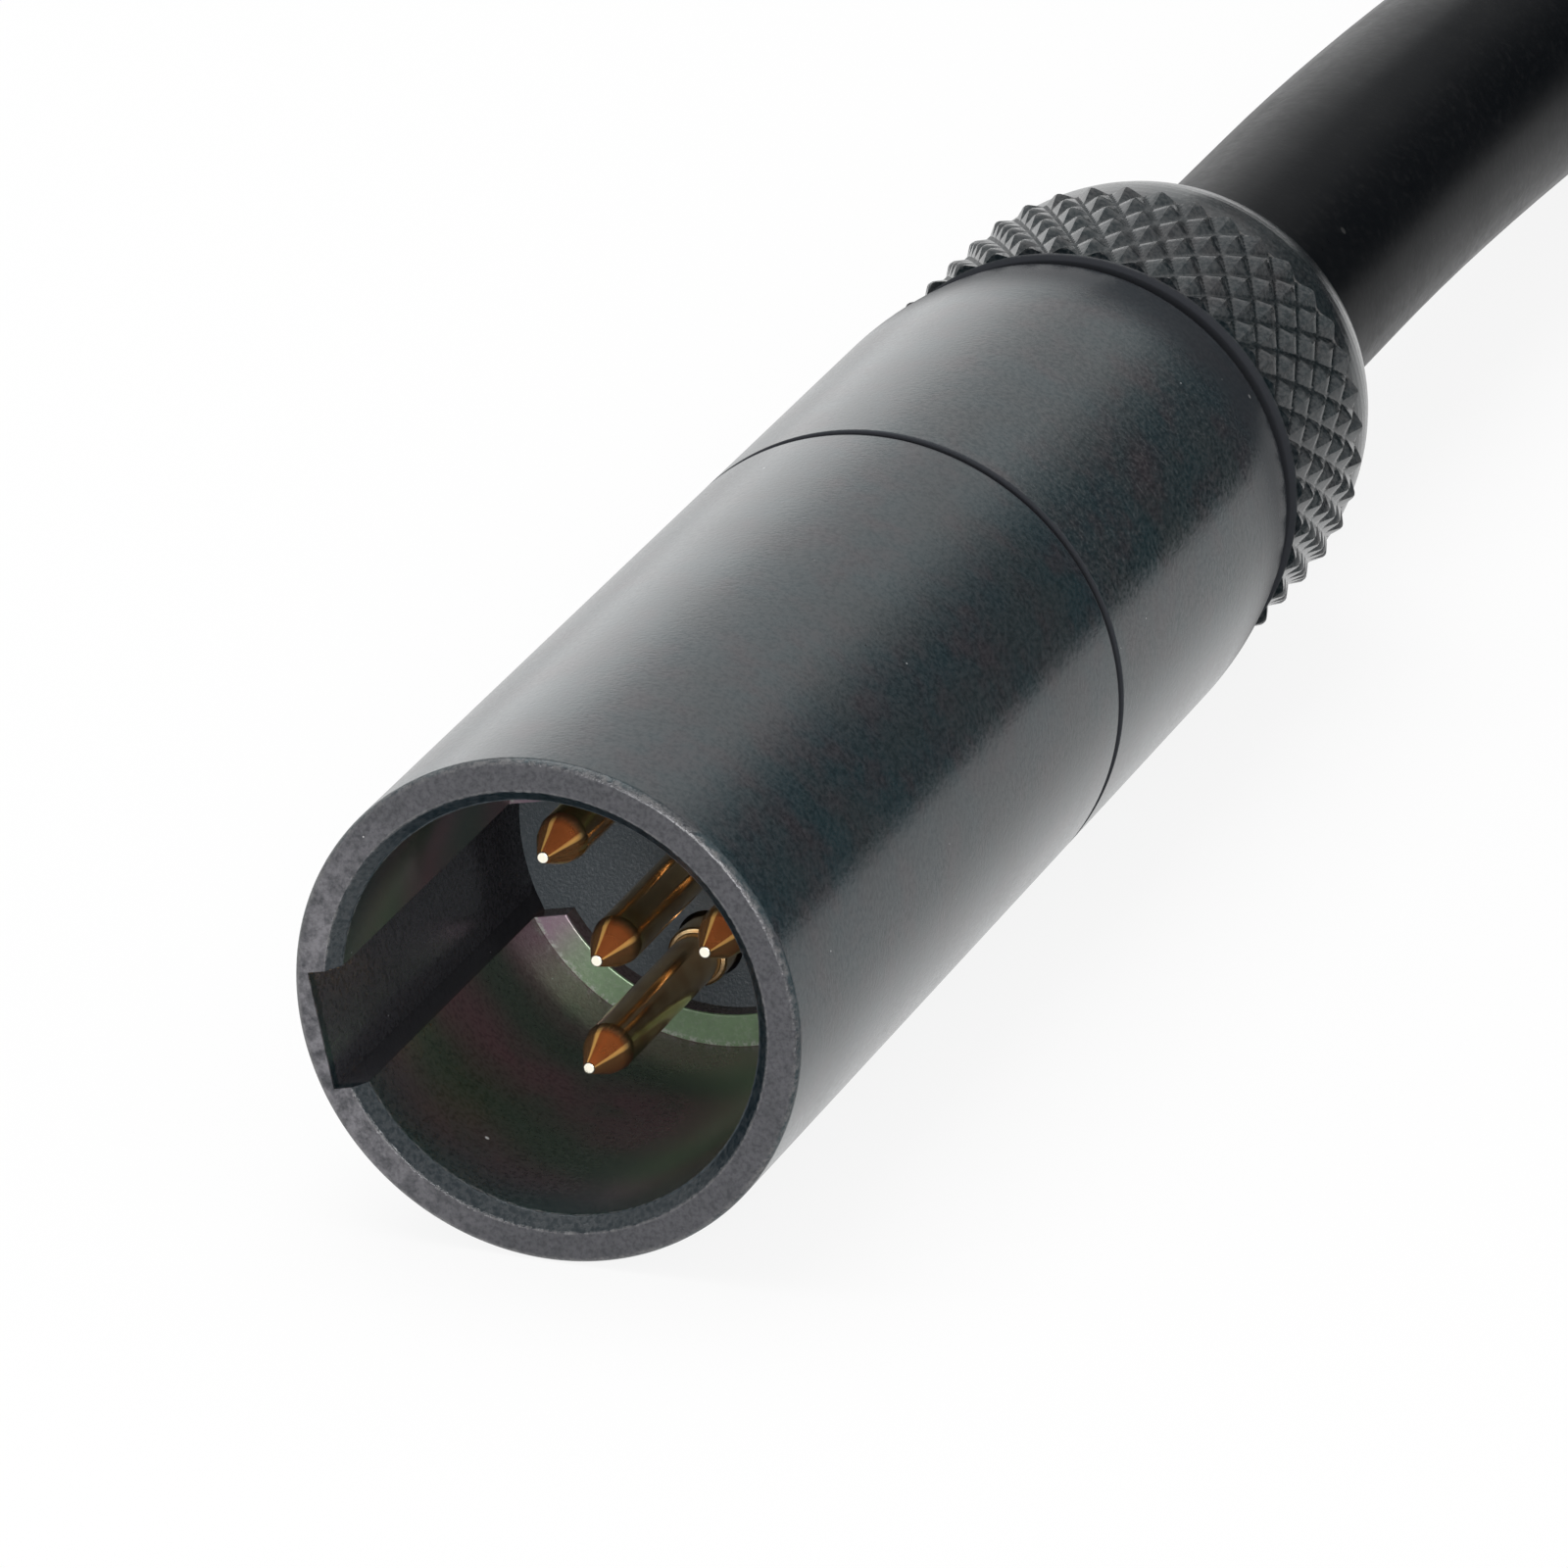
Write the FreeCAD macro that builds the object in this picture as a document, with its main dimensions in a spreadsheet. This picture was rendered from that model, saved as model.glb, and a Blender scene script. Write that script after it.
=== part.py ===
import FreeCAD, Part
import Sketcher
import math
import os

# A short cable with a four contact mini XLR plug at each end, in millimetres.
# Each plug is built along +Y of its own frame: its mating mouth is centred on the origin and
# faces -Y, its cable leaves towards +Y, and the key groove of its socket points along +X.
# The near plug lies with its axis level on the surface, so the surface is one shell radius below.
# The far plug lies beside it, and the spare cable is coiled behind the two.

SIZES = [
    # mating shell
    ("shell_radius", 5.1),
    ("shell_length", 18.95),
    ("socket_wall", 0.9),
    ("socket_depth", 9.13),
    ("mouth_wall", 0.63),
    ("mouth_depth", 0.27),
    ("rim_round", 0.16),
    ("ledge_step", 0.66),
    ("ledge_width", 0.45),
    ("key_width", 2.38),
    ("key_wall", 0.43),
    ("edge_break", 0.05),
    # insulator and its contacts
    ("insulator_step", 0.05),
    ("insulator_length", 4.0),
    ("insulator_chamfer", 0.2),
    ("rib_setback", 1.5),
    ("fit_gap", 0.03),
    ("pin_radius", 0.5),
    ("pin_tip_inset", 2.78),
    ("pin_tip_flat", 0.11),
    ("pin_cone", 0.82),
    ("pin_shoulder_step", 0.07),
    ("pin_shoulder", 0.33),
    ("collar_radius", 0.655),
    ("collar_stand", 0.78),
    ("collar_seat", 1.4),
    ("cup_radius", 0.655),
    ("cup_bore", 0.42),
    ("cup_start", 0.3),
    ("cup_floor", 1.0),
    ("cup_length", 3.3),
    ("cup_window", 1.9),
    ("pin_margin", 1.29),
    ("pin_spread", 73.5),
    # conductors inside the plug
    ("strand_radius", 0.3),
    ("strand_inset", 0.4),
    ("strand_bare", 0.5),
    ("solder_crown", 0.3),
    ("wire_radius", 0.53),
    ("wire_circle", 0.8),
    ("wire_straight", 1.8),
    ("wire_gather", 2.0),
    ("sleeve_gap", 0.1),
    ("sleeve_wall", 0.35),
    ("sleeve_length", 9.8),
    # rear barrel
    ("seam_gap", 0.2),
    ("thread_wall", 0.7),
    ("barrel_length", 11.45),
    ("barrel_wall", 1.6),
    ("taper_length", 2.7),
    ("taper_drop", 0.26),
    ("taper_arc", 14.2),
    ("tail_wall", 0.65),
    ("tail_thread_length", 3.6),
    ("tail_chamfer", 0.15),
    ("seat_depth", 0.4),
    # collet that grips the jacket
    ("collet_gap", 0.08),
    ("grip_gap", 0.06),
    ("collet_reach", 6.6),
    ("collet_shoulder", 0.1),
    ("collet_head_step", 0.35),
    ("collet_neck_step", 0.05),
    ("neck_start", 0.9),
    ("neck_width", 0.6),
    ("collet_band", 0.4),
    ("collet_cone", 1.5),
    ("collet_end_step", 0.15),
    ("slot_width", 0.55),
    ("slot_length", 8.0),
    ("slot_count", 6),
    # knurled nut
    ("nut_gap", 0.52),
    ("nut_length", 7.88),
    ("nut_step", 0.12),
    ("nut_chamfer", 0.26),
    ("nut_thread_depth", 3.4),
    ("exit_gap", 0.32),
    ("lip_gap", 0.1),
    ("knurl_start", 0.15),
    ("knurl_length", 4.05),
    ("knurl_depth", 0.19),
    ("knurl_columns", 40),
    ("knurl_rows", 3),
    ("dome_step", 0.18),
    ("dome_arc", 4.9),
    ("dome_lip", 0.17),
    # cable and its coil
    ("collet_wall", 0.67),
    ("jacket_start", 26.0),
    ("drop_start", 55.0),
    ("drop_end", 80.0),
    ("far_drop_start", 64.0),
    ("far_drop_end", 82.0),
    ("coil_track", 32.0),
    ("coil_spacing", 5.8),
    ("coil_layer_turns", 1.25),
    ("coil_centre", 114.2),
    ("coil_slack", 0.1),
    ("coil_lead", 20.2),
    # how the plugs lie
    ("key_angle", 192.3),
    ("far_key_angle", 118.0),
    ("far_offset", 16.0),
]

BUNDLE_ANGLES = (0.0, 180.0, 90.0, -90.0)

Vector = FreeCAD.Vector


class Length:
    """A size with its value and the spreadsheet expression that gives it."""

    def __init__(self, value, text):
        self.value = value
        self.text = text

    @staticmethod
    def of(number):
        if isinstance(number, Length):
            return number
        return Length(float(number), str(number))

    def combine(self, other, sign, value):
        return Length(value, f"({self.text} {sign} {Length.of(other).text})")

    def __add__(self, other):
        return self.combine(other, "+", self.value + Length.of(other).value)

    def __sub__(self, other):
        return self.combine(other, "-", self.value - Length.of(other).value)

    def __mul__(self, other):
        return self.combine(other, "*", self.value * Length.of(other).value)

    def __truediv__(self, other):
        return self.combine(other, "/", self.value / Length.of(other).value)


class Sizes:
    """The driving dimensions, one spreadsheet cell each, read by name."""

    def __init__(self, document):
        self.sheet = document.addObject("Spreadsheet::Sheet", "Sizes")
        for row, (alias, value) in enumerate(SIZES, start=1):
            self.sheet.set(f"A{row}", alias)
            self.sheet.set(f"B{row}", str(value))
            self.sheet.setAlias(f"B{row}", alias)
        document.recompute()

    def __getattr__(self, alias):
        return Length(float(self.sheet.get(alias)), f"Sizes.{alias}")


doc = FreeCAD.newDocument("mini_xlr_cable")
size = Sizes(doc)
ZERO = Length.of(0)

# Radii that follow the shell's, each a named wall or step away
socket_radius = size.shell_radius - size.socket_wall
mouth_radius = size.shell_radius - size.mouth_wall
key_floor = size.shell_radius - size.key_wall
ledge_radius = socket_radius - size.ledge_step
insulator_radius = socket_radius - size.insulator_step
pin_circle = ledge_radius - size.pin_margin
thread_radius = size.shell_radius - size.thread_wall
barrel_bore = size.shell_radius - size.barrel_wall
taper_end_radius = size.shell_radius - size.taper_drop
tail_thread_radius = barrel_bore + size.tail_wall
sleeve_radius = barrel_bore - size.sleeve_gap
cable_radius = barrel_bore - size.collet_wall
collet_head_radius = barrel_bore + size.collet_head_step
collet_neck_radius = barrel_bore - size.collet_neck_step
collet_end_radius = barrel_bore - size.collet_end_step
nut_crest_radius = size.shell_radius - size.nut_step
nut_exit_radius = cable_radius + size.exit_gap
dome_radius = nut_crest_radius - size.dome_step
dome_end_radius = nut_exit_radius + size.dome_lip

# Places along a plug, from its mating mouth
ledge_back = size.socket_depth + size.ledge_width
insulator_back = ledge_back + size.insulator_length
barrel_front = size.shell_length + size.seam_gap
barrel_back = barrel_front + size.barrel_length
tail_end = barrel_back + size.tail_thread_length
nut_front = barrel_back + size.nut_gap
nut_back = nut_front + size.nut_length
knurl_front = nut_front + size.knurl_start
knurl_back = knurl_front + size.knurl_length
shoulder_start = tail_end - size.seat_depth + size.collet_shoulder
head_start = tail_end + size.collet_shoulder
neck_front = head_start + size.neck_start
neck_back = neck_front + size.neck_width
cone_start = neck_back + size.collet_band
collet_back = cone_start + size.collet_cone


# Sketches and features

def new_body(label):
    body = doc.addObject("PartDesign::Body", label)
    body.Label = label
    return body


def plane_sketch(body, name, role):
    sketch = body.newObject("Sketcher::SketchObject", name)
    plane = next(item for item in body.Origin.OriginFeatures if item.Role == role)
    sketch.AttachmentSupport = [(plane, "")]
    sketch.MapMode = "FlatFace"
    return sketch


def fix_distance(sketch, kind, geometry, end, length, name):
    """Holds one coordinate of a sketch point at a length from the sheet."""
    if length.value < 0:
        raise ValueError(f"{name} of {sketch.Name} is negative")
    # -1 is the sketch's origin and first axis, -2 its second axis
    constraint = Sketcher.Constraint(kind, -1, 1, geometry, end, length.value)
    index = sketch.addConstraint(constraint)
    sketch.renameConstraint(index, name)
    sketch.setExpression(f"Constraints.{name}", length.text)


def fix_point(sketch, geometry, end, point, number):
    across, along = point[0], point[1]
    if across is ZERO:
        sketch.addConstraint(Sketcher.Constraint("PointOnObject", geometry, end, -2))
    else:
        fix_distance(sketch, "DistanceX", geometry, end, across, f"across_{number}")
    if along is ZERO:
        sketch.addConstraint(Sketcher.Constraint("PointOnObject", geometry, end, -1))
    else:
        fix_distance(sketch, "DistanceY", geometry, end, along, f"along_{number}")


def arc_between(start, end, radius):
    """The shorter arc that turns left from start to end."""
    chord = end - start
    middle = (start + end) * 0.5
    height = math.sqrt(radius ** 2 - (chord.Length / 2) ** 2)
    inward = Vector(-chord.y, chord.x, 0).normalize()
    centre = middle + inward * height
    first = math.atan2(start.y - centre.y, start.x - centre.x)
    last = math.atan2(end.y - centre.y, end.x - centre.x)
    return Part.ArcOfCircle(Part.Circle(centre, Vector(0, 0, 1), radius), first, last)


def draw_outline(sketch, points):
    """Closes an outline through (across, along) points. A third entry is the radius of an arc
    that turns left from the point before, so such an outline runs anticlockwise there."""
    count = len(points)
    places = [Vector(point[0].value, point[1].value, 0) for point in points]
    for number in range(count):
        following = (number + 1) % count
        target = points[following]
        if len(target) == 3:
            edge = arc_between(places[number], places[following], target[2].value)
        else:
            edge = Part.LineSegment(places[number], places[following])
        sketch.addGeometry(edge, False)
        if len(target) == 3:
            index = sketch.addConstraint(Sketcher.Constraint("Radius", number, target[2].value))
            sketch.renameConstraint(index, f"radius_{number}")
            sketch.setExpression(f"Constraints.radius_{number}", target[2].text)
    for number in range(count):
        previous = (number - 1) % count
        sketch.addConstraint(Sketcher.Constraint("Coincident", previous, 2, number, 1))
        fix_point(sketch, number, 1, points[number], number)


def revolve(body, points, role="XY_Plane"):
    """Turns an outline about the upright axis of its sketch."""
    sketch = plane_sketch(body, f"{body.Name}_outline", role)
    draw_outline(sketch, points)
    feature = body.newObject("PartDesign::Revolution", f"{body.Name}_turned")
    feature.Profile = sketch
    feature.ReferenceAxis = (sketch, ["V_Axis"])
    feature.Angle = 360
    sketch.Visibility = False
    body.Tip = feature
    return feature


def pocket(body, sketch, name, length):
    feature = body.newObject("PartDesign::Pocket", f"{body.Name}_{name}")
    feature.Profile = sketch
    feature.setExpression("Length", length.text)
    body.Tip = feature
    return feature


def centred_box(sketch, inner, outer, width):
    """A rectangle from inner to outer along the sketch's first axis, centred on that axis."""
    half = width.value / 2
    corners = [
        Vector(inner.value, -half, 0),
        Vector(outer.value, -half, 0),
        Vector(outer.value, half, 0),
        Vector(inner.value, half, 0),
    ]
    for number in range(4):
        sketch.addGeometry(Part.LineSegment(corners[number], corners[(number + 1) % 4]), False)
    for number in range(4):
        sketch.addConstraint(Sketcher.Constraint("Coincident", number, 2, (number + 1) % 4, 1))
    for number in (0, 2):
        sketch.addConstraint(Sketcher.Constraint("Horizontal", number))
    sketch.addConstraint(Sketcher.Constraint("Vertical", 1))
    sketch.addConstraint(Sketcher.Constraint("Symmetric", 0, 1, 2, 2, -1))
    fix_distance(sketch, "DistanceX", 0, 1, inner, "inner")
    fix_distance(sketch, "DistanceX", 0, 2, outer, "outer")
    index = sketch.addConstraint(Sketcher.Constraint("DistanceY", 1, 1, 1, 2, width.value))
    sketch.renameConstraint(index, "width")
    sketch.setExpression("Constraints.width", width.text)


def check_cut(feature, base, name):
    """A pocket that points away from its solid cuts nothing and shows no error."""
    if not feature.Shape.Volume < base.Shape.Volume:
        raise ValueError(f"{name} cuts nothing")


# Paths of straight runs joined by tangent arcs

def rounded_path(points, label=None):
    """A wire along the points, with an arc at each inner one that takes up 0.45 of its shorter
    run on each side."""
    edges = []
    radii = []
    start = points[0]
    for before, corner, after in zip(points, points[1:], points[2:]):
        inward = (corner - before).normalize()
        onward = (after - corner).normalize()
        half_turn = inward.getAngle(onward) / 2
        shorter = min((corner - before).Length, (after - corner).Length)
        cut_back = 0.45 * shorter
        radii.append(cut_back / math.tan(half_turn))
        leave = corner - inward * cut_back
        join = corner + onward * cut_back
        bisector = (onward - inward).normalize()
        middle = corner + bisector * radii[-1] * (1 / math.cos(half_turn) - 1)
        edges.append(Part.LineSegment(start, leave).toShape())
        edges.append(Part.Arc(leave, middle, join).toShape())
        start = join
    edges.append(Part.LineSegment(start, points[-1]).toShape())
    if label:
        print(label, "radii", [round(radius, 1) for radius in radii])
    return Part.Wire(edges)


def tube_along(path, radius):
    """A round solid along a path, checked against its section times its length."""
    first = path.Edges[0]
    start = first.valueAt(first.FirstParameter)
    direction = first.tangentAt(first.FirstParameter)
    ring = Part.Wire(Part.makeCircle(radius, start, direction))
    solid = path.makePipeShell([ring], True, True)
    expected = math.pi * radius ** 2 * path.Length
    if abs(solid.Volume - expected) > 0.01 * expected:
        raise ValueError("a tube's volume is off its section times its length")
    return solid


# The pieces of one plug

def make_mating_shell(label):
    """The front sleeve: its socket, the ledge that stops the insulator, and the key groove."""
    body = new_body(label)
    thread_bore = thread_radius + size.fit_gap
    insert_bore = insulator_radius + size.fit_gap
    turned = revolve(body, [
        (mouth_radius, ZERO),
        (size.shell_radius - size.rim_round, ZERO),
        (size.shell_radius, size.rim_round, size.rim_round),
        (size.shell_radius, size.shell_length - size.edge_break),
        (size.shell_radius - size.edge_break, size.shell_length),
        (thread_bore, size.shell_length),
        (thread_bore, insulator_back),
        (insert_bore, insulator_back),
        (insert_bore, ledge_back),
        (ledge_radius, ledge_back),
        (ledge_radius, size.socket_depth),
        (socket_radius, size.socket_depth),
        (socket_radius, size.mouth_depth),
    ])
    sketch = plane_sketch(body, f"{label}_key_outline", "XZ_Plane")
    centred_box(sketch, ledge_radius - size.key_width / 4, key_floor, size.key_width)
    groove = pocket(body, sketch, "key_groove", size.shell_length)
    doc.recompute()
    check_cut(groove, turned, label)
    return body


def pin_places():
    """Where each contact stands: across, up, and the angle that its solder cup opens to."""
    circle = pin_circle.value
    spread = size.pin_spread.value
    places = [(0.0, 0.0, 0.0)]
    for angle in (180.0, spread, -spread):
        turn = math.radians(angle)
        places.append((circle * math.cos(turn), circle * math.sin(turn), angle))
    return places


def make_insulator(label):
    """The moulded disc that holds the contacts, with the rib that runs in the key groove."""
    body = new_body(label)
    chamfer = size.insulator_chamfer
    turned = revolve(body, [
        (ZERO, ledge_back),
        (insulator_radius, ledge_back),
        (insulator_radius, insulator_back - chamfer),
        (insulator_radius - chamfer, insulator_back),
        (ZERO, insulator_back),
    ])
    rib = plane_sketch(body, f"{label}_rib_outline", "XZ_Plane")
    gap = size.fit_gap * 2
    centred_box(rib, insulator_radius - chamfer * 3, key_floor - gap, size.key_width - gap)
    rib_front = ledge_back + size.rib_setback
    rib.setExpression("AttachmentOffset.Base.z", f"-{rib_front.text}")
    pad = body.newObject("PartDesign::Pad", f"{label}_rib")
    pad.Profile = rib
    pad.setExpression("Length", (size.insulator_length - size.rib_setback).text)
    pad.Reversed = True
    body.Tip = pad
    doc.recompute()
    if not pad.Shape.Volume > turned.Shape.Volume:
        raise ValueError(f"{label} has no rib")
    holes = [
        ("stem_holes", size.pin_radius + size.fit_gap, insulator_back),
        ("collar_holes", size.collar_radius + size.fit_gap, ledge_back + size.collar_seat),
    ]
    before = pad
    for name, radius, depth in holes:
        sketch = plane_sketch(body, f"{label}_{name}_outline", "XZ_Plane")
        draw_pin_circles(sketch, radius)
        cut = pocket(body, sketch, name, depth)
        doc.recompute()
        check_cut(cut, before, f"{label} {name}")
        before = cut
    return body


def draw_pin_circles(sketch, radius):
    """One circle for each contact, placed by its distance and angle from the middle."""
    for number, (across, up, angle) in enumerate(pin_places()):
        circle = Part.Circle(Vector(across, up, 0), Vector(0, 0, 1), radius.value)
        sketch.addGeometry(circle, False)
        index = sketch.addConstraint(Sketcher.Constraint("Radius", number, radius.value))
        sketch.renameConstraint(index, f"hole_{number}")
        sketch.setExpression(f"Constraints.hole_{number}", radius.text)
        if number == 0:
            sketch.addConstraint(Sketcher.Constraint("Coincident", number, 3, -1, 1))
    spokes = (180.0, size.pin_spread.value, -size.pin_spread.value)
    for number, angle in enumerate(spokes, start=1):
        turn = math.radians(angle)
        reach = Vector(math.cos(turn), math.sin(turn), 0) * pin_circle.value
        spoke = sketch.addGeometry(Part.LineSegment(Vector(0, 0, 0), reach), True)
        sketch.addConstraint(Sketcher.Constraint("Coincident", spoke, 1, -1, 1))
        sketch.addConstraint(Sketcher.Constraint("Coincident", spoke, 2, number, 3))
        index = sketch.addConstraint(Sketcher.Constraint("Distance", spoke, pin_circle.value))
        sketch.renameConstraint(index, f"reach_{number}")
        sketch.setExpression(f"Constraints.reach_{number}", pin_circle.text)
        if angle == 180.0:
            sketch.addConstraint(Sketcher.Constraint("PointOnObject", spoke, 2, -1))
        else:
            fix_spoke_angle(sketch, spoke, number, angle)


def fix_spoke_angle(sketch, spoke, number, angle):
    """Holds the line to a contact at the spread angle above or below the key's direction."""
    if angle > 0:
        sides = (-1, 1, spoke, 1)
    else:
        sides = (spoke, 1, -1, 1)
    turn = math.radians(size.pin_spread.value)
    index = sketch.addConstraint(Sketcher.Constraint("Angle", *sides, turn))
    sketch.renameConstraint(index, f"spread_{number}")
    sketch.setExpression(f"Constraints.spread_{number}", f"{size.pin_spread.text} * 1 deg")


def make_contact_pin(label):
    """One turned contact about its own axis, with a solder cup that is open on one side."""
    body = new_body(label)
    cone_back = size.pin_tip_inset + size.pin_cone
    collar_front = ledge_back - size.collar_stand
    collar_back = ledge_back + size.collar_seat
    cup_front = insulator_back + size.cup_start
    cup_floor = insulator_back + size.cup_floor
    cup_back = insulator_back + size.cup_length
    lead = size.collar_radius - size.pin_radius
    turned = revolve(body, [
        (ZERO, size.pin_tip_inset),
        (size.pin_tip_flat, size.pin_tip_inset),
        (size.pin_radius - size.pin_shoulder_step, cone_back),
        (size.pin_radius, cone_back + size.pin_shoulder),
        (size.pin_radius, collar_front),
        (size.collar_radius - lead / 2, collar_front),
        (size.collar_radius, collar_front + lead / 2),
        (size.collar_radius, collar_back),
        (size.pin_radius, collar_back),
        (size.pin_radius, cup_front),
        (size.cup_radius, cup_front + lead),
        (size.cup_radius, cup_back),
        (size.cup_bore, cup_back),
        (size.cup_bore, cup_floor),
        (ZERO, cup_floor),
    ])
    sketch = plane_sketch(body, f"{label}_window_outline", "XY_Plane")
    window_start = insulator_back + size.cup_window
    draw_outline(sketch, [
        (size.cup_bore / 2, window_start),
        (size.cup_radius * 2, window_start),
        (size.cup_radius * 2, cup_back + size.cup_radius),
        (size.cup_bore / 2, cup_back + size.cup_radius),
    ])
    window = pocket(body, sketch, "window", size.cup_radius * 4)
    window.Midplane = True
    doc.recompute()
    check_cut(window, turned, label)
    return body


def make_rear_barrel(label):
    """The rear sleeve: it screws into the shell, clamps the insulator and seats the collet."""
    body = new_body(label)
    seat_radius = barrel_bore + size.seat_depth
    revolve(body, [
        (barrel_bore, insulator_back),
        (thread_radius - size.insulator_chamfer, insulator_back),
        (thread_radius, insulator_back + size.insulator_chamfer),
        (thread_radius, barrel_front),
        (size.shell_radius - size.edge_break, barrel_front),
        (size.shell_radius, barrel_front + size.edge_break),
        (size.shell_radius, barrel_back - size.taper_length),
        (taper_end_radius, barrel_back - size.edge_break, size.taper_arc),
        (taper_end_radius - size.edge_break, barrel_back),
        (tail_thread_radius, barrel_back),
        (tail_thread_radius, tail_end - size.tail_chamfer),
        (tail_thread_radius - size.tail_chamfer, tail_end),
        (seat_radius, tail_end),
        (barrel_bore, tail_end - size.seat_depth),
    ])
    return body


def make_insulating_sleeve(label):
    """The thin liner that keeps the solder joints off the barrel."""
    body = new_body(label)
    revolve(body, [
        (sleeve_radius - size.sleeve_wall, insulator_back),
        (sleeve_radius, insulator_back),
        (sleeve_radius, insulator_back + size.sleeve_length),
        (sleeve_radius - size.sleeve_wall, insulator_back + size.sleeve_length),
    ])
    return body


def make_cable_collet(label):
    """The slotted chuck: its shoulder meets the barrel's seat, its neck holds the nut's lip and
    its rear cone is squeezed onto the jacket."""
    body = new_body(label)
    grip = cable_radius + size.grip_gap
    stem = barrel_bore - size.collet_gap
    turned = revolve(body, [
        (grip, tail_end - size.collet_reach),
        (stem, tail_end - size.collet_reach),
        (stem, shoulder_start),
        (collet_head_radius, head_start),
        (collet_head_radius, neck_front),
        (collet_neck_radius, neck_front),
        (collet_neck_radius, neck_back),
        (collet_head_radius, neck_back),
        (collet_head_radius, cone_start),
        (collet_end_radius, collet_back),
        (grip, collet_back),
    ])
    sketch = plane_sketch(body, f"{label}_slot_outline", "XY_Plane")
    draw_outline(sketch, [
        (grip / 2, collet_back - size.slot_length),
        (collet_head_radius * 1.5, collet_back - size.slot_length),
        (collet_head_radius * 1.5, collet_back + size.collet_cone),
        (grip / 2, collet_back + size.collet_cone),
    ])
    slot = pocket(body, sketch, "slot", size.slot_width)
    slot.Midplane = True
    doc.recompute()
    check_cut(slot, turned, label)
    slots = body.newObject("PartDesign::PolarPattern", f"{label}_slots")
    slots.Originals = [slot]
    slots.Axis = (sketch, ["V_Axis"])
    slots.Angle = 360
    slots.setExpression("Occurrences", size.slot_count.text)
    body.Tip = slots
    return body


def make_nut_blank(label):
    """The nut before it is knurled: a threaded bore, a lip for the collet and a domed rear."""
    body = new_body(label)
    thread_bore = tail_thread_radius + size.collet_gap
    head_bore = collet_head_radius + size.lip_gap
    lip_front = neck_front + size.lip_gap
    lip_back = neck_back - size.lip_gap
    cone_end = collet_back + size.lip_gap
    revolve(body, [
        (thread_bore, nut_front),
        (nut_crest_radius - size.nut_chamfer, nut_front),
        (nut_crest_radius, nut_front + size.nut_chamfer),
        (nut_crest_radius, knurl_back),
        (dome_radius, knurl_back),
        (dome_end_radius, nut_back, size.dome_arc),
        (nut_exit_radius, nut_back),
        (nut_exit_radius, cone_end),
        (collet_end_radius + size.lip_gap, cone_end),
        (head_bore, cone_start + size.lip_gap),
        (head_bore, lip_back),
        (collet_neck_radius + size.lip_gap, lip_back),
        (collet_neck_radius + size.lip_gap, lip_front),
        (head_bore, lip_front),
        (head_bore, nut_front + size.nut_thread_depth),
        (thread_bore, nut_front + size.nut_thread_depth),
    ])
    return body


def make_knurl_cutter(label):
    """The ring that a crossed knurl takes off: its inner face is a lattice of pointed diamonds,
    each four flat sides that rise from the crossings of two helical grooves to one crest."""
    crest = nut_crest_radius.value
    root = crest - size.knurl_depth.value
    outside = crest + size.knurl_depth.value * 2
    columns = int(size.knurl_columns.value)
    lines = 2 * int(size.knurl_rows.value)
    front = knurl_front.value
    spacing = size.knurl_length.value / lines

    def place(step, line, radius):
        turn = math.pi * step / columns
        return Vector(radius * math.cos(turn), front + line * spacing, radius * math.sin(turn))

    faces = []
    for line in range(lines + 1):
        for step in range(line % 2, 2 * columns, 2):
            peak = place(step, line, crest)
            for tip_line in (line - 1, line + 1):
                if not 0 <= tip_line <= lines:
                    continue
                tip = place(step, tip_line, root)
                for side_step in (step - 1, step + 1):
                    side = place(side_step, line, root)
                    faces.append(Part.Face(Part.makePolygon([peak, side, tip, peak])))
    for line in (0, lines):
        teeth = []
        for step in range(2 * columns):
            teeth.append(place(step, line, crest if step % 2 == line % 2 else root))
        rim = Part.makeCircle(outside, Vector(0, front + line * spacing, 0), Vector(0, 1, 0))
        faces.append(Part.Face([Part.Wire(rim), Part.makePolygon(teeth + teeth[:1])]))
    length = size.knurl_length.value
    faces.append(Part.makeCylinder(outside, length, Vector(0, front, 0), Vector(0, 1, 0)).Faces[0])
    cutter = doc.addObject("Part::Feature", label)
    cutter.Shape = Part.makeSolid(Part.Shell(faces))
    return cutter


def make_knurled_nut(label):
    nut = doc.addObject("Part::Cut", label)
    nut.Base = make_nut_blank(f"{label}_blank")
    nut.Tool = make_knurl_cutter(f"{label}_knurl")
    return nut


def make_wire(label, number):
    """A conductor: bare strands in the solder cup, then its insulation bent to the bundle."""
    across, up, angle = pin_places()[number]
    turn = math.radians(BUNDLE_ANGLES[number])
    gather_across = size.wire_circle.value * math.cos(turn)
    gather_up = size.wire_circle.value * math.sin(turn)
    cup_back = insulator_back.value + size.cup_length.value
    strand_start = insulator_back.value + size.cup_floor.value + size.strand_inset.value
    sheath_start = cup_back + size.strand_bare.value
    jacket = size.jacket_start.value
    points = [
        Vector(across, sheath_start, up),
        Vector(across, sheath_start + size.wire_straight.value, up),
        Vector(gather_across, jacket - size.wire_gather.value, gather_up),
        Vector(gather_across, jacket, gather_up),
    ]
    sheath = tube_along(rounded_path(points), size.wire_radius.value)
    strand = Part.makeCylinder(
        size.strand_radius.value,
        sheath_start - strand_start,
        Vector(across, strand_start, up),
        Vector(0, 1, 0),
    )
    wire = doc.addObject("Part::Feature", label)
    wire.Shape = sheath.fuse(strand).removeSplitter()
    return wire


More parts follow.
